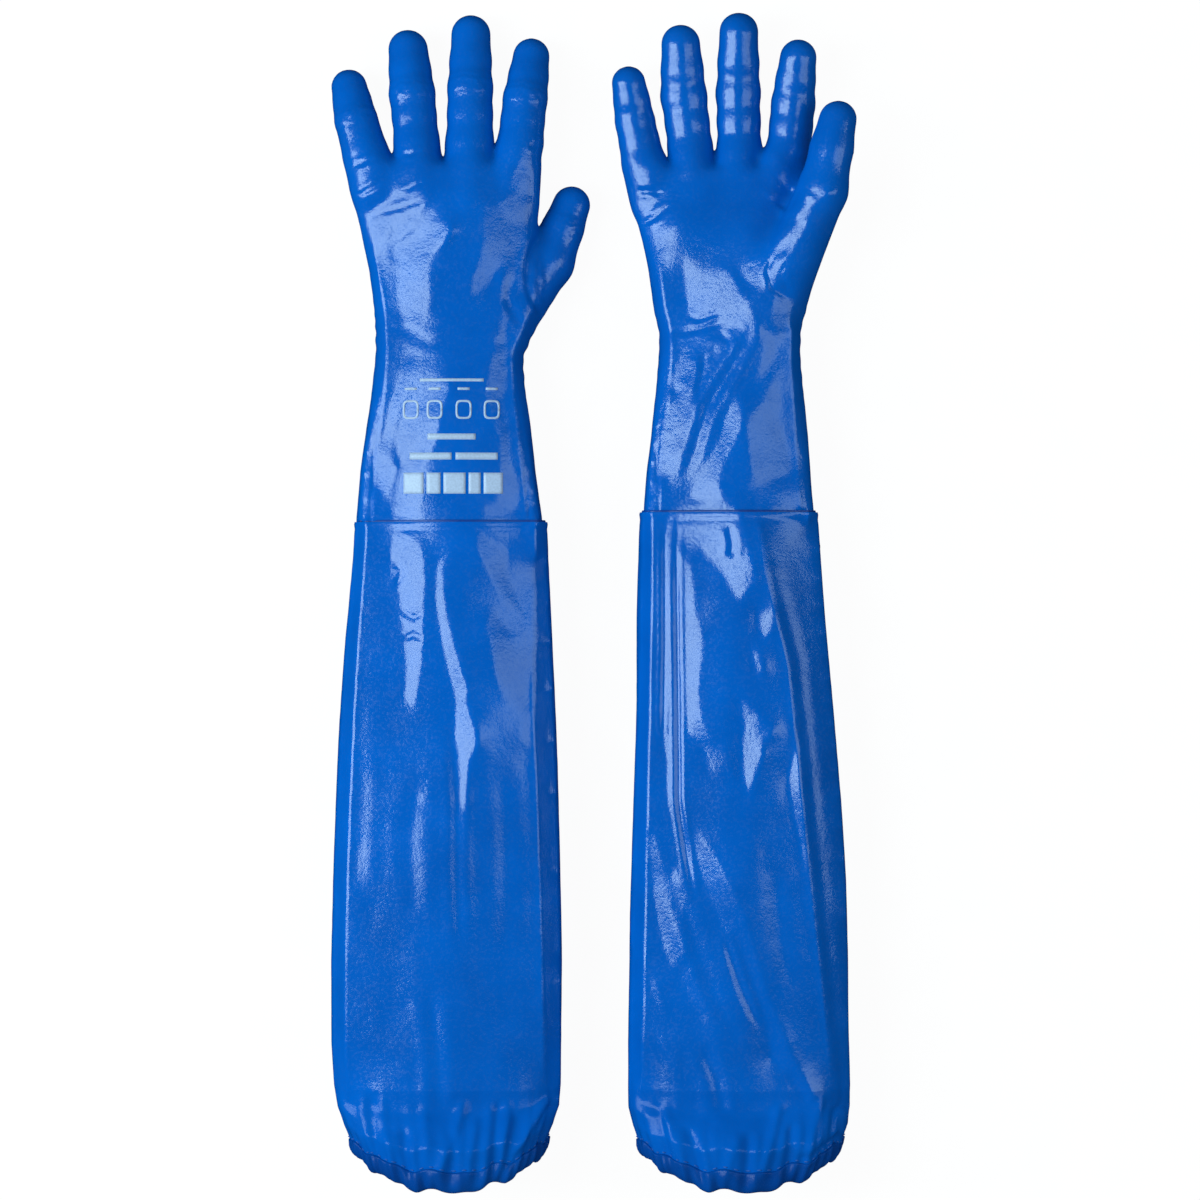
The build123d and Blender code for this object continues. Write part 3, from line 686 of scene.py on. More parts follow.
# ------------------------------------------------------------------ facets
# Where the slack film stands in flat facets between folds: (facing, degrees, outline in layout units).
# Facing L leans to -X, R leans to +X; the film between them lies nearly level.
FACETS = {
    "left": [
        ("L", 18, [(392, 256), (402, 244), (420, 238), (436, 223), (449, 227), (444, 242), (428, 258), (426, 275), (428, 300), (420, 330), (416, 350), (408, 340), (402, 320), (398, 290), (398, 262)]),
        ("L", 18, [(408, 340), (417, 348), (408, 380), (398, 405), (392, 440), (388, 455), (396, 470), (384, 498), (376, 490), (376, 455), (384, 432), (394, 395), (402, 372)]),
        ("L", 17, [(444, 378), (452, 386), (440, 410), (436, 440), (428, 455), (420, 470), (420, 500), (418, 519), (390, 518), (398, 498), (402, 470), (398, 455), (393, 440), (400, 420), (410, 402), (428, 386)]),
        ("L", 17, [(374, 208), (402, 203), (426, 196), (424, 206), (412, 226), (398, 240), (394, 236), (408, 214), (402, 210), (376, 213)]),
        ("R", 18, [(482, 208), (500, 200), (516, 192), (520, 176), (527, 176), (523, 240), (526, 290), (514, 300), (504, 300), (501, 285), (504, 262), (498, 270), (484, 290), (472, 296), (468, 286), (478, 262), (484, 240)]),
        ("R", 18, [(504, 300), (511, 304), (504, 330), (504, 360), (507, 385), (501, 404), (507, 430), (509, 460), (517, 480), (519, 513), (480, 514), (482, 507), (498, 502), (500, 480), (500, 440), (494, 420), (486, 392), (488, 372), (494, 345), (500, 325)]),
        ("L", 18, [(392, 534), (404, 532), (420, 545), (424, 580), (422, 640), (420, 668), (414, 704), (404, 698), (408, 668), (404, 630), (400, 590), (391, 560)]),
        ("L", 18, [(452, 552), (441, 566), (442, 590), (450, 632), (462, 672), (469, 690), (464, 702), (475, 725), (479, 745), (468, 762), (466, 812), (461, 800), (462, 760), (453, 735), (456, 700), (448, 672), (440, 632), (435, 596), (438, 562)]),
        ("R", 18, [(476, 530), (484, 536), (500, 545), (506, 545), (506, 575), (517, 600), (523, 616), (514, 606), (500, 592), (484, 566), (476, 548)]),
        ("R", 16, [(484, 525), (522, 525), (520, 536), (500, 538)]),
        ("R", 19, [(490, 610), (500, 618), (510, 636), (530, 634), (534, 650), (528, 714), (518, 704), (504, 696), (494, 670), (492, 645), (486, 625)]),
        ("R", 18, [(524, 712), (531, 712), (532, 752), (520, 738)]),
        ("D", 34, [(534, 560), (560, 560), (580, 1120), (546, 1120), (541, 940), (536, 780), (533, 700)]),
    ],
    "right": [
        ("L", 18, [(682, 264), (700, 271), (722, 268), (732, 274), (742, 298), (758, 326), (756, 338), (744, 344), (722, 342), (716, 326), (718, 315), (700, 318), (685, 316), (684, 290)]),
        ("L", 18, [(722, 340), (744, 344), (735, 360), (720, 380), (706, 398), (704, 388), (708, 366), (712, 348)]),
        ("L", 18, [(706, 338), (712, 346), (700, 352), (696, 372), (692, 396), (698, 416), (700, 420), (694, 444), (682, 468), (672, 478), (659, 478), (661, 440), (665, 412), (676, 396), (670, 384), (674, 366), (684, 350)]),
        ("L", 18, [(738, 268), (764, 257), (766, 276), (760, 292), (748, 288), (738, 276)]),
        ("L", 19, [(768, 252), (782, 238), (796, 230), (800, 212), (812, 200), (820, 190), (825, 196), (812, 208), (806, 222), (798, 238), (784, 252), (772, 262)]),
        ("R", 17, [(776, 290), (787, 298), (786, 316), (780, 337), (774, 334), (770, 318), (772, 300)]),
        ("R", 17, [(766, 337), (777, 342), (774, 356), (766, 372), (756, 379), (758, 366), (764, 350)]),
        ("R", 18, [(774, 377), (780, 392), (780, 402), (776, 418), (784, 438), (789, 460), (789, 478), (764, 483), (752, 480), (749, 460), (747, 432), (750, 416), (762, 402), (768, 388)]),
        ("L", 18, [(736, 396), (742, 412), (740, 428), (730, 450), (722, 462), (714, 484), (724, 499), (682, 502), (692, 488), (700, 466), (712, 448), (722, 430), (724, 418)]),
        ("L", 16, [(672, 512), (690, 507), (737, 507), (741, 530), (750, 560), (756, 580), (748, 588), (738, 601), (728, 590), (718, 570), (704, 556), (698, 548), (682, 548), (676, 530)]),
        ("L", 19, [(666, 520), (674, 512), (674, 620), (674, 700), (672, 732), (667, 730), (667, 640), (667, 560)]),
        ("L", 19, [(664, 738), (672, 738), (672, 818), (666, 792)]),
        ("L", 19, [(680, 556), (688, 560), (692, 590), (692, 612), (700, 630), (700, 650), (696, 690), (700, 720), (714, 744), (700, 740), (686, 732), (678, 728), (678, 690), (680, 640), (680, 590)]),
        ("L", 18, [(678, 735), (685, 735), (684, 800), (682, 834), (678, 826), (678, 780)]),
        ("L", 14, [(700, 744), (722, 744), (734, 782), (722, 774), (706, 772)]),
        ("L", 17, [(738, 697), (756, 712), (762, 722), (773, 724), (768, 738), (762, 742), (760, 760), (750, 785), (748, 797), (740, 776), (738, 740), (742, 725), (736, 705)]),
        ("L", 18, [(756, 611), (772, 611), (770, 634), (762, 639), (754, 626)]),
        ("L", 17, [(747, 643), (756, 650), (763, 668), (757, 677), (750, 662)]),
        ("L", 18, [(784, 776), (796, 738), (798, 800), (803, 850), (802, 872), (798, 840), (790, 806)]),
        ("L", 18, [(690, 829), (700, 836), (716, 858), (728, 882), (742, 915), (752, 950), (764, 990), (778, 1025), (792, 1058), (813, 1097), (804, 1101), (788, 1072), (770, 1058), (766, 1030), (754, 990), (742, 958), (732, 930), (722, 930), (712, 905), (702, 880), (694, 855)]),
        ("L", 17, [(647, 829), (654, 836), (662, 868), (668, 876), (674, 866), (680, 880), (682, 930), (684, 955), (672, 962), (662, 950), (656, 920), (652, 890), (648, 850)]),
        ("L", 17, [(686, 962), (694, 980), (704, 1004), (719, 1021), (706, 1016), (690, 996), (680, 972)]),
        ("L", 17, [(649, 972), (656, 985), (663, 1010), (656, 1004), (650, 988)]),
        ("L", 17, [(655, 1028), (664, 1044), (677, 1062), (674, 1071), (664, 1060), (656, 1040)]),
        ("D", 34, [(757, 524), (880, 524), (880, 1118), (836, 1118), (826, 1025), (816, 933), (806, 841), (800, 780), (788, 664), (770, 590)]),
    ],
}
GRID = 1.1


def inside(x, y, poly):
    """Even-odd test of points against an outline."""
    hit = np.zeros(x.shape, bool)
    for (xa, ya), (xb, yb) in zip(poly, poly[1:] + poly[:1]):
        if ya == yb:
            continue
        cut = (ya > y) != (yb > y)
        hit ^= cut & (x < (xb - xa) * (y - ya) / (yb - ya) + xa)
    return hit


def blur(a, r):
    """Small separable blur."""
    k = np.exp(-0.5 * (np.arange(-3 * r, 3 * r + 1) / r) ** 2) if r >= 1 else np.array([0.25, 0.5, 0.25])
    k = k / k.sum()
    for ax in (0, 1):
        a = np.apply_along_axis(lambda v: np.convolve(v, k, "same"), ax, a)
    return a


def solve_height(gx, gy, w, free, lam):
    """Height whose slope is as close as can be to (gx, gy), weighted by w, held at zero where free is 0."""
    def grad(h):
        return np.diff(h, axis=1, append=h[:, -1:]) / GRID, np.diff(h, axis=0, append=h[-1:, :]) / GRID

    def div(a, b):
        o = np.zeros_like(a)
        o[:, 1:] += a[:, :-1]
        o -= a
        o[1:, :] += b[:-1, :]
        o -= b
        return o / GRID

    def op(h):
        a, b = grad(h * free)
        return (div(w * a, w * b) + lam * h) * free

    rhs = div(w * gx, w * gy) * free
    h = np.zeros_like(gx)
    r = rhs - op(h)
    p = r.copy()
    rs = (r * r).sum()
    for _ in range(600):
        ap = op(p)
        al = rs / max((p * ap).sum(), 1e-12)
        h += al * p
        r -= al * ap
        rn = (r * r).sum()
        if rn < 1e-8 * (rhs * rhs).sum():
            break
        p = r + (rn / rs) * p
        rs = rn
    return h * free


class Relief:
    """Facet height over one part of a glove, sampled by position."""

    def __init__(self, side, y0, y1, slope_x, slope_y, room, level, lam=1 / 900.0, side_w=None):
        x0, x1 = (-155.0, 4.0) if side == "left" else (-2.0, 160.0)
        xs, ys = np.arange(x0, x1, GRID), np.arange(y0, y1, GRID)
        X, Y = np.meshgrid(xs, ys)
        nx, ny = slope_x(X, Y), slope_y(X, Y)
        rm = room(X, Y)
        lv = level(X, Y)
        cap = math.tan(math.radians(5.5))
        tx = nx + lv * (np.clip(nx, -cap, cap) - nx)
        ty = ny + lv * (np.clip(ny, -cap, cap) - ny)
        w = 0.04 + 1.90 * lv
        if side_w is not None:
            # the flat top turns down sharply into the side
            tx = tx + side_w * (np.sign(nx) * 1.8 - tx)
            w = np.maximum(w, 0.8 * side_w)
        for lean, deg, pts in FACETS[side]:
            m = inside(X, Y, [px(*q) for q in pts]).astype(float)
            if not m.any():
                continue
            m = blur(m, 1)
            t = math.tan(math.radians(deg)) * (1.0 if lean == "L" else -1.0)
            if lean == "D":
                tx = tx + m * (t - tx)
                w = np.where(m > 0.5, 3.0, w)
            else:
                tx = tx + m * (t - tx)
                ty = ty * (1 - m)
                w = np.maximum(w, 4.0 * m)
        self.x0, self.y0, self.shape = x0, y0, X.shape
        self.h = solve_height(tx - nx, ty - ny, w, (rm > 0.5).astype(float), lam)
        print("relief", side, round(float(self.h.min()), 2), round(float(self.h.max()), 2))

    def at(self, x, y):
        u = np.clip((x - self.x0) / GRID, 0, self.shape[1] - 1.001)
        v = np.clip((y - self.y0) / GRID, 0, self.shape[0] - 1.001)
        i, j = u.astype(int), v.astype(int)
        a, b = u - i, v - j
        h = self.h
        return (h[j, i] * (1 - a) + h[j, i + 1] * a) * (1 - b) + (h[j + 1, i] * (1 - a) + h[j + 1, i + 1] * a) * b


def sleeve_top(side, X, Y):
    """Height and side slope of the sleeve's smooth oval seen from above, and how far across it is."""
    T = SLEEVE[side]
    cx, hw, cz, hz = (np.interp(-Y, [-r[0] for r in T], [r[k] for r in T]) for k in (1, 2, 3, 4))

    def top(X):
        u = np.clip(np.abs(X - cx) / hw, 0, 0.995)
        return cz + hz * (1 - u ** 2.12) ** (1 / 2.12)

    return top(X), np.clip(top(X + 0.5) - top(X - 0.5), -3, 3), np.abs(X - cx) / hw


def glove_relief(side, v, n):
    """One field of facets over the whole upper face, worked from the slope the skin and sleeve already have."""
    y0, y1, seam = -318.0, 262.0, SEAM_Y[side]
    x0, x1 = (-155.0, 4.0) if side == "left" else (-2.0, 160.0)
    xs, ys = np.arange(x0, x1, GRID), np.arange(y0, y1, GRID)
    X, Y = np.meshgrid(xs, ys)
    m = (n[:, 2] > 0.25) & (v[:, 1] > y0) & (v[:, 1] < y1 - 1)
    i = np.clip(((v[m, 0] - x0) / GRID + 0.5).astype(int), 0, len(xs) - 1)
    j = np.clip(((v[m, 1] - y0) / GRID + 0.5).astype(int), 0, len(ys) - 1)
    acc = np.zeros((3,) + X.shape)
    nz = np.maximum(n[m, 2], 0.3)
    for k, val in enumerate((np.ones(m.sum()), -n[m, 0] / nz, -n[m, 1] / nz)):
        np.add.at(acc[k], (j, i), val)
    cnt = blur(acc[0], 1)
    ok = cnt > 0.12
    sx = np.where(ok, blur(acc[1], 1) / np.maximum(cnt, 1e-6), 0)
    sy = np.where(ok, blur(acc[2], 1) / np.maximum(cnt, 1e-6), 0)
    steep = np.hypot(sx, sy)
    rm = (ok & (steep < 2.2) & (Y < 250)).astype(float)
    # the fingers and thumb keep their own round shape
    lv = smooth((0.95 - steep) / 0.15) * smooth((200.0 - Y) / 25.0)
    lv = lv * (1 - smooth((X - (-40 if side == "left" else 96)) / 10.0) * smooth((Y - 150) / 10.0))
    z, tx, u = sleeve_top(side, X, Y)
    low = Y < seam
    sx, sy = np.where(low, tx, sx), np.where(low, 0.0, sy)
    rm = np.where(low, (u < 0.99) & (Y > -300), rm)
    keep = smooth((Y + 285) / 40.0)
    lv = np.where(low, smooth((0.885 - u) / 0.03) * keep, lv)
    side_w = np.where(low, smooth((u - 0.875) / 0.02) * (u < 0.985) * keep, 0.0)
    return Relief(side, y0, y1, lambda X, Y: sx, lambda X, Y: sy, lambda X, Y: rm, lambda X, Y: lv, 1 / 60000.0, side_w)


RELIEF = {}


# ------------------------------------------------------------------ sleeve
SLEEVE_CREASES = {
    "left": [
        ([(532, 606), (532, 700), (536, 780), (541, 940), (543, 1100)], "edge", 0.8, 3.0, 1.0),
        ([(394, 560), (404, 572), (396, 588)], "groove", 0.35, 1.6),
        ([(402, 610), (414, 618), (424, 612)], "groove", 0.35, 1.5),
        ([(404, 640), (414, 634), (424, 640)], "groove", 0.4, 1.6),
        ([(452, 720), (458, 800), (458, 880), (462, 960)], "groove", 0.5, 3.0),
        ([(420, 760), (410, 840), (416, 930)], "groove", 0.35, 5.0),
        ([(356, 700), (360, 800), (356, 900)], "groove", 0.3, 5.0),
        ([(500, 760), (508, 860), (504, 960)], "groove", 0.35, 5.0),
        ([(430, 980), (438, 1050), (440, 1120)], "groove", 0.6, 4.0),
        ([(391, 1128), (394, 1179)], "ridge", 1.2, 3.2),
        ([(408, 1120), (406, 1150), (413, 1178)], "groove", 1.2, 2.8),
        ([(467, 1092), (452, 1140), (434, 1184)], "ridge", 1.9, 3.0),
        ([(454, 1120), (453, 1151), (452, 1184)], "groove", 1.3, 2.6),
        ([(478, 1110), (471, 1155), (469, 1184)], "ridge", 1.3, 2.8),
        ([(500, 1096), (497, 1132), (492, 1184)], "groove", 1.4, 2.8),
        ([(550, 1100), (530, 1135), (513, 1162)], "ridge", 1.8, 3.0),
        ([(520, 1110), (512, 1150), (508, 1180)], "groove", 1.2, 2.8),
        ([(372, 1090), (374, 1130), (380, 1166)], "groove", 1.1, 3.0),
        ([(424, 1100), (428, 1140), (424, 1182)], "ridge", 1.0, 2.8),
    ],
    "right": [
        ([(753, 520), (768, 590), (786, 664), (798, 780), (804, 841), (814, 933), (824, 1025), (832, 1100)], "edge", 0.9, 2.6, 1.0),
        ([(676, 508), (676, 600), (677, 700), (678, 800), (687, 860), (697, 915)], "groove", 0.9, 1.5),
        ([(664, 512), (664, 640), (662, 760)], "groove", 0.5, 1.3),
        ([(728, 524), (732, 545), (730, 560)], "groove", 0.7, 2.0),
        ([(668, 860), (690, 930), (712, 990), (744, 1060)], "groove", 0.5, 4.0),
        ([(722, 930), (740, 985), (760, 1030)], "groove", 0.6, 2.0),
        ([(774, 860), (778, 930), (790, 990)], "groove", 0.4, 4.5),
        ([(700, 1040), (716, 1076), (724, 1120)], "groove", 0.8, 3.5),
        ([(667, 1110), (674, 1140), (684, 1182)], "ridge", 1.5, 2.8),
        ([(654, 1100), (660, 1140), (668, 1176)], "groove", 1.3, 3.0),
        ([(687, 1122), (694, 1152), (703, 1186)], "groove", 1.4, 2.8),
        ([(737, 1124), (731, 1150), (724, 1186)], "ridge", 1.4, 2.8),
        ([(748, 1124), (746, 1152), (743, 1188)], "groove", 1.6, 2.6),
        ([(780, 1096), (770, 1135), (758, 1180)], "ridge", 2.0, 3.0),
        ([(792, 1120), (788, 1150), (780, 1186)], "groove", 1.4, 2.8),
        ([(822, 1090), (812, 1130), (803, 1176)], "ridge", 1.6, 3.0),
        ([(836, 1110), (832, 1140), (826, 1170)], "groove", 1.3, 3.0),
        ([(712, 1120), (714, 1150), (716, 1186)], "ridge", 1.0, 2.6),
        ([(792, 1162), (820, 1158), (849, 1159)], "groove", 0.9, 2.2),
    ],
}


def tube_point(side, th, y, grow=0.0):
    """Smooth oval of the sleeve at angle th and station y; its callers flatten it where it lies on the bench."""
    T = SLEEVE[side]
    ys = [-r[0] for r in T]
    cx, hw, cz, hz = (np.interp(-y, ys, [r[k] for r in T]) for k in (1, 2, 3, 4))
    e = 2.0 / 2.12
    c, s = np.cos(th), np.sin(th)
    x = cx + (hw + grow) * np.sign(c) * np.abs(c) ** e
    z = cz + (hz + grow) * np.sign(s) * np.abs(s) ** e
    return np.stack([x, y + 0 * x, z], -1)


def tube_grid(side, ys, nth, grow=0.0):
    th = np.linspace(0, 2 * math.pi, nth, endpoint=False)
    TH, Y = np.meshgrid(th, ys, indexing="xy")
    return tube_point(side, TH.ravel(), Y.ravel(), grow), TH.ravel(), Y.ravel()


def ring_quads(rows, cols):
    i, j = np.meshgrid(np.arange(rows - 1), np.arange(cols), indexing="ij")
    a = i * cols + j
    b = i * cols + (j + 1) % cols
    c = (i + 1) * cols + (j + 1) % cols
    d = (i + 1) * cols + j
    return np.stack([a.ravel(), b.ravel(), c.ravel(), d.ravel()], 1)


def gather(side, th, y):
    """Folds drawn in by the elastic: strongest at the hem, dying out up the sleeve."""
    k = hash_name(side) % 7
    w1 = np.sin(th * 23 + 1.6 * np.sin(th * 3 + k) + k)
    w2 = np.sin(th * 41 + 2.1 * np.sin(th * 5 + 2 * k) + 1.7)
    w3 = np.sin(th * 9 + 1.1 * np.sin(th * 2 + k) + 0.4)
    env = np.exp(-np.clip(y + 316.0, 0, None) / 17.0)
    env2 = np.exp(-np.clip(y + 316.0, 0, None) / 44.0)
    return env * (0.62 * w1 + 0.42 * w2) + env2 * 0.5 * w3


def sleeve_shape(side, p, n, th, y):
    """All the relief of the sleeve film at a point, in millimetres along its normal."""
    up = smooth((n[:, 2] + 0.10) / 0.35)
    d = crease_field(p[:, :2], SLEEVE_CREASES[side]) * up
    d += gather(side, th, y)
    # broad slack of the film, drawn out along the sleeve
    d += (0.28 + 0.8 * (1 - up)) * value_noise(p * np.array([1.0, 0.30, 1.0]), 26.0, 31)
    d += 0.16 * value_noise(p * np.array([1.0, 0.42, 1.0]), 12.0, 32)
    d += 0.06 * value_noise(p, 6.0, 33)
    # the underside creases where it is pressed by the bench
    low = smooth((-n[:, 2] - 0.1) / 0.5)
    d += low * 0.8 * value_noise(p * np.array([1.0, 0.5, 1.0]), 15.0, 34)
    seam = SEAM_Y[side]
    near = np.exp(-((seam - y) / 9.0) ** 2)
    d *= 1 - 0.75 * near
    # the rolled lip where the sleeve laps over the gauntlet
    d += 0.30 * np.exp(-((seam - 1.4 - y) / 1.2) ** 2) - 0.15 * np.exp(-((seam - 4.2 - y) / 1.4) ** 2)
    return d


def hem_edge(side, th, y):
    """The hem's sides are drawn back a little further than its middle."""
    t = smooth((-250 - y) / 74.0)
    c = np.cos(th)
    shift = 17.0 * np.abs(c) ** 2.2 + 1.1 * np.sin(th * 11 + 2) + 0.8 * np.sin(th * 19)
    return y + t * shift


def build_sleeve(side):
    top = SEAM_Y[side]
    end = -313.6
    step = 1.3
    ys = np.linspace(top, end, int((top - end) / step))
    nth = 340
    p, th, y = tube_grid(side, ys, nth)
    q = ring_quads(len(ys), nth)
    n = vertex_normals(p, q)
    if np.mean(n[:, 2] * (p[:, 2] - 36)) < 0:
        q = q[:, ::-1].copy()
        n = -n
    lift = RELIEF[side].at(p[:, 0], p[:, 1]) * smooth((n[:, 2] - 0.02) / 0.10)
    p = p + n * sleeve_shape(side, p, n, th, y)[:, None]
    p[:, 2] += lift
    p[:, 1] = hem_edge(side, th, y)
    p[:, 2] = np.maximum(p[:, 2], 0.35)
    n = vertex_normals(p, q)
    ob = thick_piece(side + "_sleeve_film", p, n, q, 1.0, [M_SLEEVE, M_INNER, M_GATHER_PAINTED_SHADE])
    # the gathered end is duller than the stretched film above it, and its colour is a little darker as painted shade
    cut = px(0, 1090)[1] / 1000.0
    for poly in ob.data.polygons:
        if poly.material_index == 0 and poly.center[1] < cut:
            poly.material_index = 2
    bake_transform(ob)
    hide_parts(side + "_forearm_sleeve", side + "_upper_sleeve")
    return p, n, q


def profile_ring(name, side, prof, nth, mats, wrinkle, thick_mat=0):
    """Closed ring: prof is a loop of (y, outward offset from the sleeve's oval), swept round the sleeve."""
    th = np.linspace(0, 2 * math.pi, nth, endpoint=False)
    prof = np.array(prof, float)
    m = len(prof)
    base = tube_point(side, th, np.full(nth, -313.0))
    out = np.zeros((m, nth, 3))
    for k, (y, off) in enumerate(prof):
        ring = tube_point(side, th, np.full(nth, y))
        a = np.roll(ring, -1, 0) - np.roll(ring, 1, 0)
        nn = np.stack([a[:, 2], 0 * a[:, 0], -a[:, 0]], 1)
        nn /= np.linalg.norm(nn, axis=1, keepdims=True)
        c = ring.mean(0)
        if ((ring - c) * nn).sum() < 0:
            nn = -nn
        w = wrinkle(th, np.full(nth, y), ring, nn)
        r = ring + nn * (off + w)[:, None]
        r[:, 1] = hem_edge(side, th, np.full(nth, y))
        out[k] = r
    v = out.reshape(-1, 3)
    v[:, 2] = np.maximum(v[:, 2], 0.3)
    i, j = np.meshgrid(np.arange(m), np.arange(nth), indexing="ij")
    i2, j2 = (i + 1) % m, (j + 1) % nth
    q = np.stack([(i * nth + j).ravel(), (i * nth + j2).ravel(), (i2 * nth + j2).ravel(), (i2 * nth + j).ravel()], 1)
    n = vertex_normals(v, q)
    # orient outward using the outermost row
    k = int(np.argmax(prof[:, 1]))
    ring = out[k]
    c = ring.mean(0)
    if ((ring - c) * n.reshape(m, nth, 3)[k]).sum() < 0:
        q = q[:, ::-1].copy()
    return new_mesh(name, v, q, mats)


def build_hem(side):
    def wr(th, y, ring, nn):
        up = smooth((nn[:, 2] + 0.1) / 0.35)
        return gather(side, th, y) + crease_field(ring[:, :2], SLEEVE_CREASES[side]) * up + 0.5 * np.sin(th * 41 + 2.0 * np.sin(th * 7)) * smooth((-313 - y) / 6.0)
    prof = [(-312.4, 0.35), (-312.7, 0.9), (-313.4, 1.15), (-314.8, 1.45), (-317.0, 1.9), (-319.6, 2.0), (-321.8, 1.55), (-323.2, 0.6),
            (-323.7, -0.6), (-323.2, -1.9), (-321.6, -2.9), (-319.0, -3.4), (-316.4, -3.2), (-314.2, -2.6), (-312.9, -1.9), (-312.2, -1.4), (-312.0, -0.6)]
    hem = profile_ring(side + "_hem_roll", side, prof, 360, [M_HEM_PAINTED_SHADE], wr)
    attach(hem, side + "_upper_arm")
    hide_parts(side + "_hem_casing")
    prof_e = [(-315.2, 0.4), (-317.0, 0.75), (-319.0, 0.75), (-320.8, 0.4), (-321.0, -0.7), (-319.0, -1.3), (-317.0, -1.3), (-315.2, -0.7)]
    el = profile_ring(side + "_hem_elastic_web", side, prof_e, 300, [M_ELASTIC], lambda th, y, r, nn: 0.9 * wr(th, y, r, nn))
    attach(el, side + "_upper_arm")
    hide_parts(side + "_hem_elastic")
    # stitches: short threads pressed into the line above the casing
    bm_v, bm_f = [], []
    count = 64
    for k in range(count):
        t0 = 2 * math.pi * (k + 0.22) / count
        t1 = 2 * math.pi * (k + 0.66) / count
        if math.sin((t0 + t1) / 2) < -0.80:
            continue
        tt = np.linspace(t0, t1, 5)
        ring = tube_point(side, np.linspace(0, 2 * math.pi, 720, endpoint=False), np.full(720, -311.2))
        seg = tube_point(side, tt, np.full(5, -311.2))
        a = tube_point(side, tt + 0.01, np.full(5, -311.2)) - tube_point(side, tt - 0.01, np.full(5, -311.2))
        nn = np.stack([a[:, 2], 0 * a[:, 0], -a[:, 0]], 1)
        nn /= np.linalg.norm(nn, axis=1, keepdims=True)
        if ((seg - ring.mean(0)) * nn).sum() < 0:
            nn = -nn
        d = sleeve_shape(side, seg, nn, tt, np.full(5, -311.2))
        rad = np.array([0.15, 0.42, 0.48, 0.42, 0.15])
        c = seg + nn * (d + 0.12)[:, None]
        c[:, 1] = hem_edge(side, tt, np.full(5, -311.2))
        base = len(bm_v)
        for r_i, cc, n_i in zip(rad, c, nn):
            for s_i in range(6):
                an = 2 * math.pi * s_i / 6
                bm_v.append(cc + n_i * r_i * math.sin(an) + np.array([0, 1, 0]) * r_i * math.cos(an))
        for a_i in range(4):
            for s_i in range(6):
                s2 = (s_i + 1) % 6
                bm_f.append([base + a_i * 6 + s_i, base + a_i * 6 + s2, base + (a_i + 1) * 6 + s2, base + (a_i + 1) * 6 + s_i])
        bm_f.append([base + s_i for s_i in range(6)][::-1])
        bm_f.append([base + 24 + s_i for s_i in range(6)])
    st = new_mesh(side + "_hem_stitches", np.array(bm_v), bm_f, [M_THREAD])
    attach(st, side + "_upper_arm")
    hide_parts(side + "_hem_stitching")


def build_lap(side):
    """Adhesive band between sleeve and gauntlet, squeezed out a little at the edge."""
    top = SEAM_Y[side]
    ys = np.array([top + 1.1, top + 0.9, top + 0.2, top - 4, top - 9, top - 14, top - 18])
    nth = 260
    p, th, y = tube_grid(side, ys, nth, -1.35)
    q = ring_quads(len(ys), nth)
    n = vertex_normals(p, q)
    if np.mean(n[:, 2] * (p[:, 2] - 30)) < 0:
        q, n = q[:, ::-1].copy(), -n
    bead = np.exp(-((y - top - 0.3) / 0.9) ** 2) * (0.45 + 0.25 * value_noise(p, 5.0, 41))
    p = p + n * bead[:, None]
    p[:, 2] += RELIEF[side].at(p[:, 0], p[:, 1]) * smooth((n[:, 2] - 0.02) / 0.10)
    p[:, 2] = np.maximum(p[:, 2], 0.9)
    ob = thick_piece(side + "_lap_bead", p, vertex_normals(p, q), q, 0.5, [M_BAND, M_BAND])
    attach(ob, side + "_forearm")
    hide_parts(side + "_lap_band")


def build_liner(side):
    """Knitted liner seen inside the gauntlet, with a thicker overlocked edge."""
    T = PALM[side]
    y_lo = T[0][0] + 0.8
    ys = np.concatenate([[y_lo - 0.0, y_lo + 0.6, y_lo + 1.6, y_lo + 3.0, y_lo + 4.4], np.linspace(y_lo + 6, 120, 40)])
    nth = 220
    th = np.linspace(0, 2 * math.pi, nth, endpoint=False)
    TH, Y = np.meshgrid(th, ys, indexing="xy")
    cx, hw, cz, hz = (np.interp(Y.ravel(), [r[0] for r in T], [r[k] for r in T]) for k in (1, 2, 3, 4))
    ins = 4.6 - 0.9 * np.exp(-((Y.ravel() - y_lo - 1.8) / 2.0) ** 2)
    e = 2 / 2.25
    c, s = np.cos(TH.ravel()), np.sin(TH.ravel())
    p = np.stack([cx + (hw - ins) * np.sign(c) * np.abs(c) ** e, Y.ravel(), cz + (hz - ins) * np.sign(s) * np.abs(s) ** e], 1)
    q = ring_quads(len(ys), nth)
    n = vertex_normals(p, q)
    if np.mean(n[:, 2] * (p[:, 2] - 30)) < 0:
        q, n = q[:, ::-1].copy(), -n
    d = 0.35 * value_noise(p, 9.0, 51)
    d += np.exp(-((Y.ravel() - y_lo - 1.8) / 1.8) ** 2) * 0.22 * np.sin(TH.ravel() * 110)
    p = p + n * d[:, None]
    p[:, 2] += (np.minimum(RELIEF[side].at(p[:, 0], p[:, 1]), 0) - 0.8) * smooth((n[:, 2] - 0.02) / 0.20)
    ob = thick_piece(side + "_liner_knit", p, vertex_normals(p, q), q, 1.5, [M_KNIT, M_KNIT])
    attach(ob, side + "_forearm")
    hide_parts(side + "_gauntlet_liner")


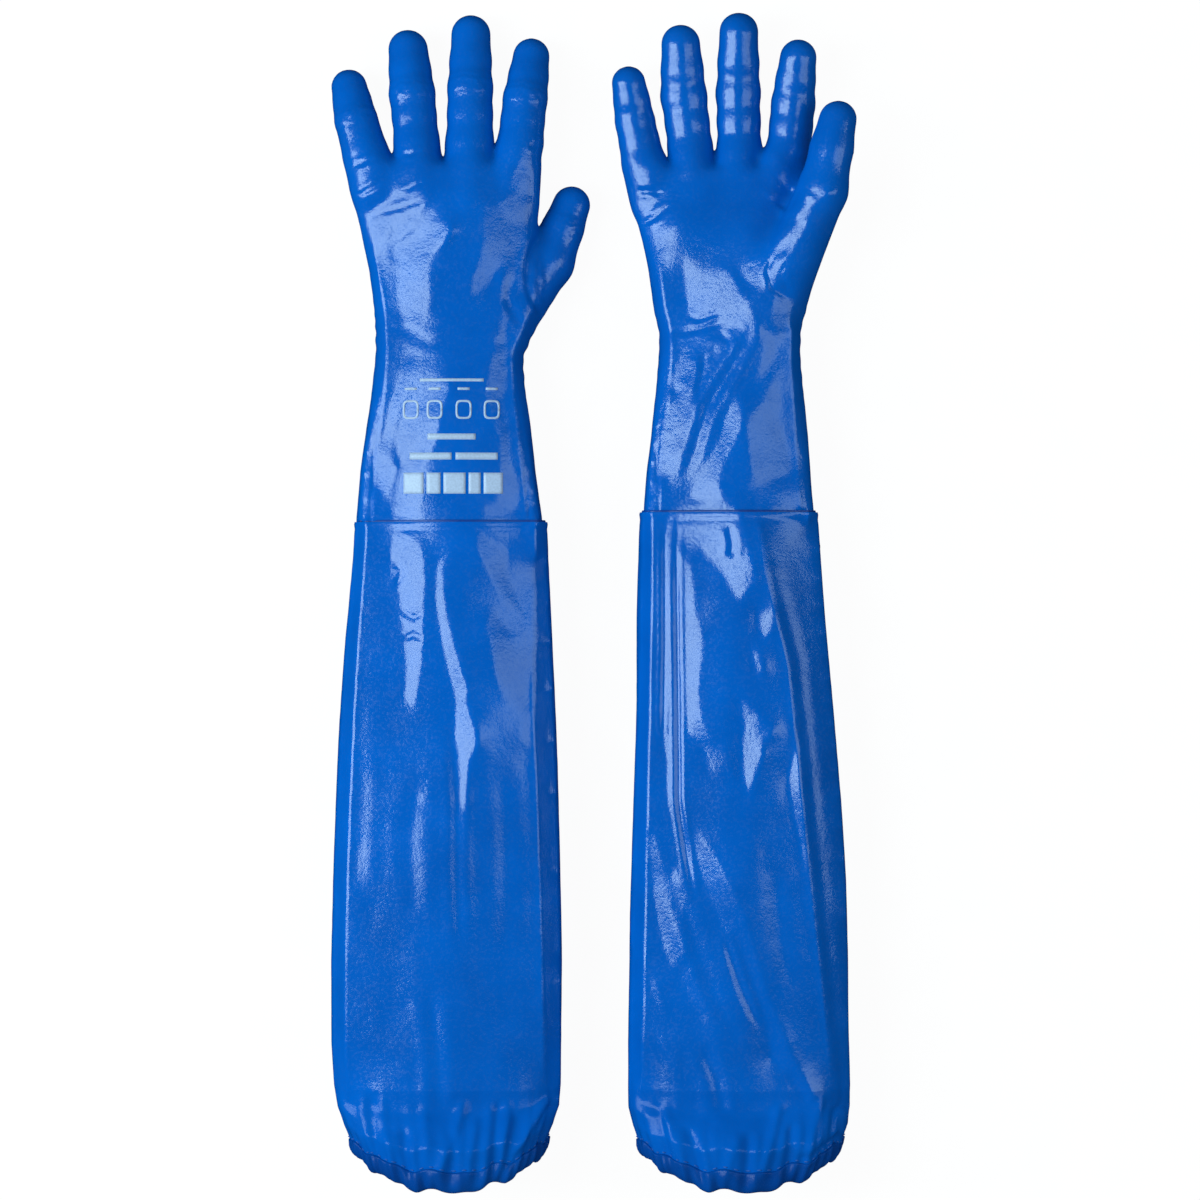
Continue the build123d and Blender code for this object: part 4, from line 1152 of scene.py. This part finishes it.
# ------------------------------------------------------------------ generic print on the left gauntlet
def build_print(body):
    """Plain bars and blank rounded outlines, printed on the back of the gauntlet."""
    bpy.context.view_layer.update()
    tree = BVHTree.FromObject(body, bpy.context.evaluated_depsgraph_get())
    verts, faces = [], []

    def patch(poly_fn, nx, ny):
        """poly_fn(u, v) gives layout pixels; the grid is laid on the skin and made a thin closed film."""
        base = len(verts)
        rows = []
        for j in range(ny + 1):
            for i in range(nx + 1):
                x, y = poly_fn(i / nx, j / ny)
                X, Y = px(x, y)
                m = to_m((X, Y, 0))
                hit = tree.ray_cast(Vector((m[0], m[1], 0.2)), Vector((0, 0, -1)))
                rows.append((hit[0], hit[1]) if hit[0] is not None else (Vector((m[0], m[1], 0.05)), Vector((0, 0, 1))))
        for lift in (0.00016, -0.00012):
            for loc, nor in rows:
                verts.append(list(loc + nor * lift))
        k = (nx + 1) * (ny + 1)
        f = []
        for j in range(ny):
            for i in range(nx):
                a = base + j * (nx + 1) + i
                f.append([a, a + 1, a + nx + 2, a + nx + 1])
        top = list(f)
        faces.extend(top)
        faces.extend([[b + k for b in reversed(g)] for g in top])
        rim = [base + i for i in range(nx + 1)] + [base + (j + 1) * (nx + 1) + nx for j in range(ny)] + [base + ny * (nx + 1) + i for i in range(nx - 1, -1, -1)] + [base + j * (nx + 1) for j in range(ny - 1, 0, -1)]
        for a, b in zip(rim, rim[1:] + rim[:1]):
            faces.append([b, a, a + k, b + k])

    def bar(x0, y0, x1, y1):
        nx = max(2, int(abs(x1 - x0) / 3))
        ny = max(1, int(abs(y1 - y0) / 3))
        patch(lambda u, v: (x0 + (x1 - x0) * u, y0 + (y1 - y0) * v), nx, ny)

    def ring(cx, cy, w, h, t, top_round):
        """Blank plaque outline: a rounded loop of even line width."""
        def loop(u, inset):
            a = 2 * math.pi * u
            c, s = math.cos(a), math.sin(a)
            e = 0.5
            return (cx + (w / 2 - inset) * math.copysign(abs(c) ** e, c), cy + (h / 2 - inset) * math.copysign(abs(s) ** e, s))
        def fn(u, v):
            a, b = loop(u, 0), loop(u, t)
            return (a[0] + (b[0] - a[0]) * v, a[1] + (b[1] - a[1]) * v)
        patch(fn, 40, 1)

    # title bar block
    for x0, x1 in ((404, 424), (427, 441), (444, 466), (469, 481), (484, 503)):
        bar(x0, 473, x1, 494)
    for x0, x1 in ((410, 452), (456, 498)):
        bar(x0, 453, x1, 460)
    bar(428, 434, 476, 440)
    for cx in (411, 435, 464, 492):
        ring(cx, 410, 16, 19, 2.0, True)
    for x0, x1 in ((403, 419), (427, 443), (456, 472), (484, 500)):
        bar(x0 + 2, 388, x1 - 2, 390.5)
    bar(420, 379, 484, 382)
    v = np.array(verts)
    ob = new_mesh("left_print_block", v, faces, [M_PRINT], metres=True)
    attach(ob, "left_forearm")


# ------------------------------------------------------------------ build
hands = {}
for side in ("left", "right"):
    hv, hn, hq, hbody = build_hand(side)
    build_sleeve(side)
    build_hem(side)
    build_lap(side)
    build_liner(side)
    if side == "left":
        build_print(hbody)

# ------------------------------------------------------------------ floor and light
fl = bpy.data.meshes.new("bench_top")
bm = bmesh.new()
bmesh.ops.create_grid(bm, x_segments=8, y_segments=8, size=3.0)
bm.to_mesh(fl)
bm.free()
floor = bpy.data.objects.new("bench_top", fl)
floor.location = (0, 0, -0.0004)
bpy.context.scene.collection.objects.link(floor)
mf, nt, bs, tc = node_mat("bench_white")
nn = noise_node(nt, tc, 30.0, 2.0)
r = ramp(nt, nn.outputs[0], [(0.3, (0.055, 0.055, 0.055, 1)), (0.7, (0.065, 0.065, 0.065, 1))])
nt.links.new(r.outputs[0], bs.inputs["Base Color"])
bs.inputs["Roughness"].default_value = 0.9
bs.inputs["Specular IOR Level"].default_value = 0.1
bs.inputs["Emission Color"].default_value = (1, 1, 1, 1)
bs.inputs["Emission Strength"].default_value = 0.955
fl.materials.append(mf)
floor.visible_glossy = False
floor.visible_diffuse = False


def area(name, loc, target, size, power, size_y=None):
    d = bpy.data.lights.new(name, "AREA")
    d.energy = power
    d.color = (0.72, 0.95, 1.0)
    d.shape = "RECTANGLE"
    d.size, d.size_y = size, size_y or size
    o = bpy.data.objects.new(name, d)
    o.location = loc
    o.rotation_euler = (Vector(target) - Vector(loc)).to_track_quat("-Z", "Y").to_euler()
    bpy.context.scene.collection.objects.link(o)
    return o


area("key_left", (-1.28, 0.06, 1.26), (0.0, 0.06, 0.0), 0.72, 32.0, 1.8)
area("key_right", (1.26, 0.06, 1.28), (0.0, 0.06, 0.0), 0.56, 6.5, 1.6)
world = bpy.data.worlds.new("studio")
bpy.context.scene.world = world
world.use_nodes = True
world.node_tree.nodes["Background"].inputs[0].default_value = (0.92, 0.95, 1.0, 1)
world.node_tree.nodes["Background"].inputs[1].default_value = 0.30
world.cycles_visibility.glossy = False
vs = bpy.context.scene.view_settings
vs.view_transform = "Standard"
vs.look = "None"
vs.exposure = 0.0
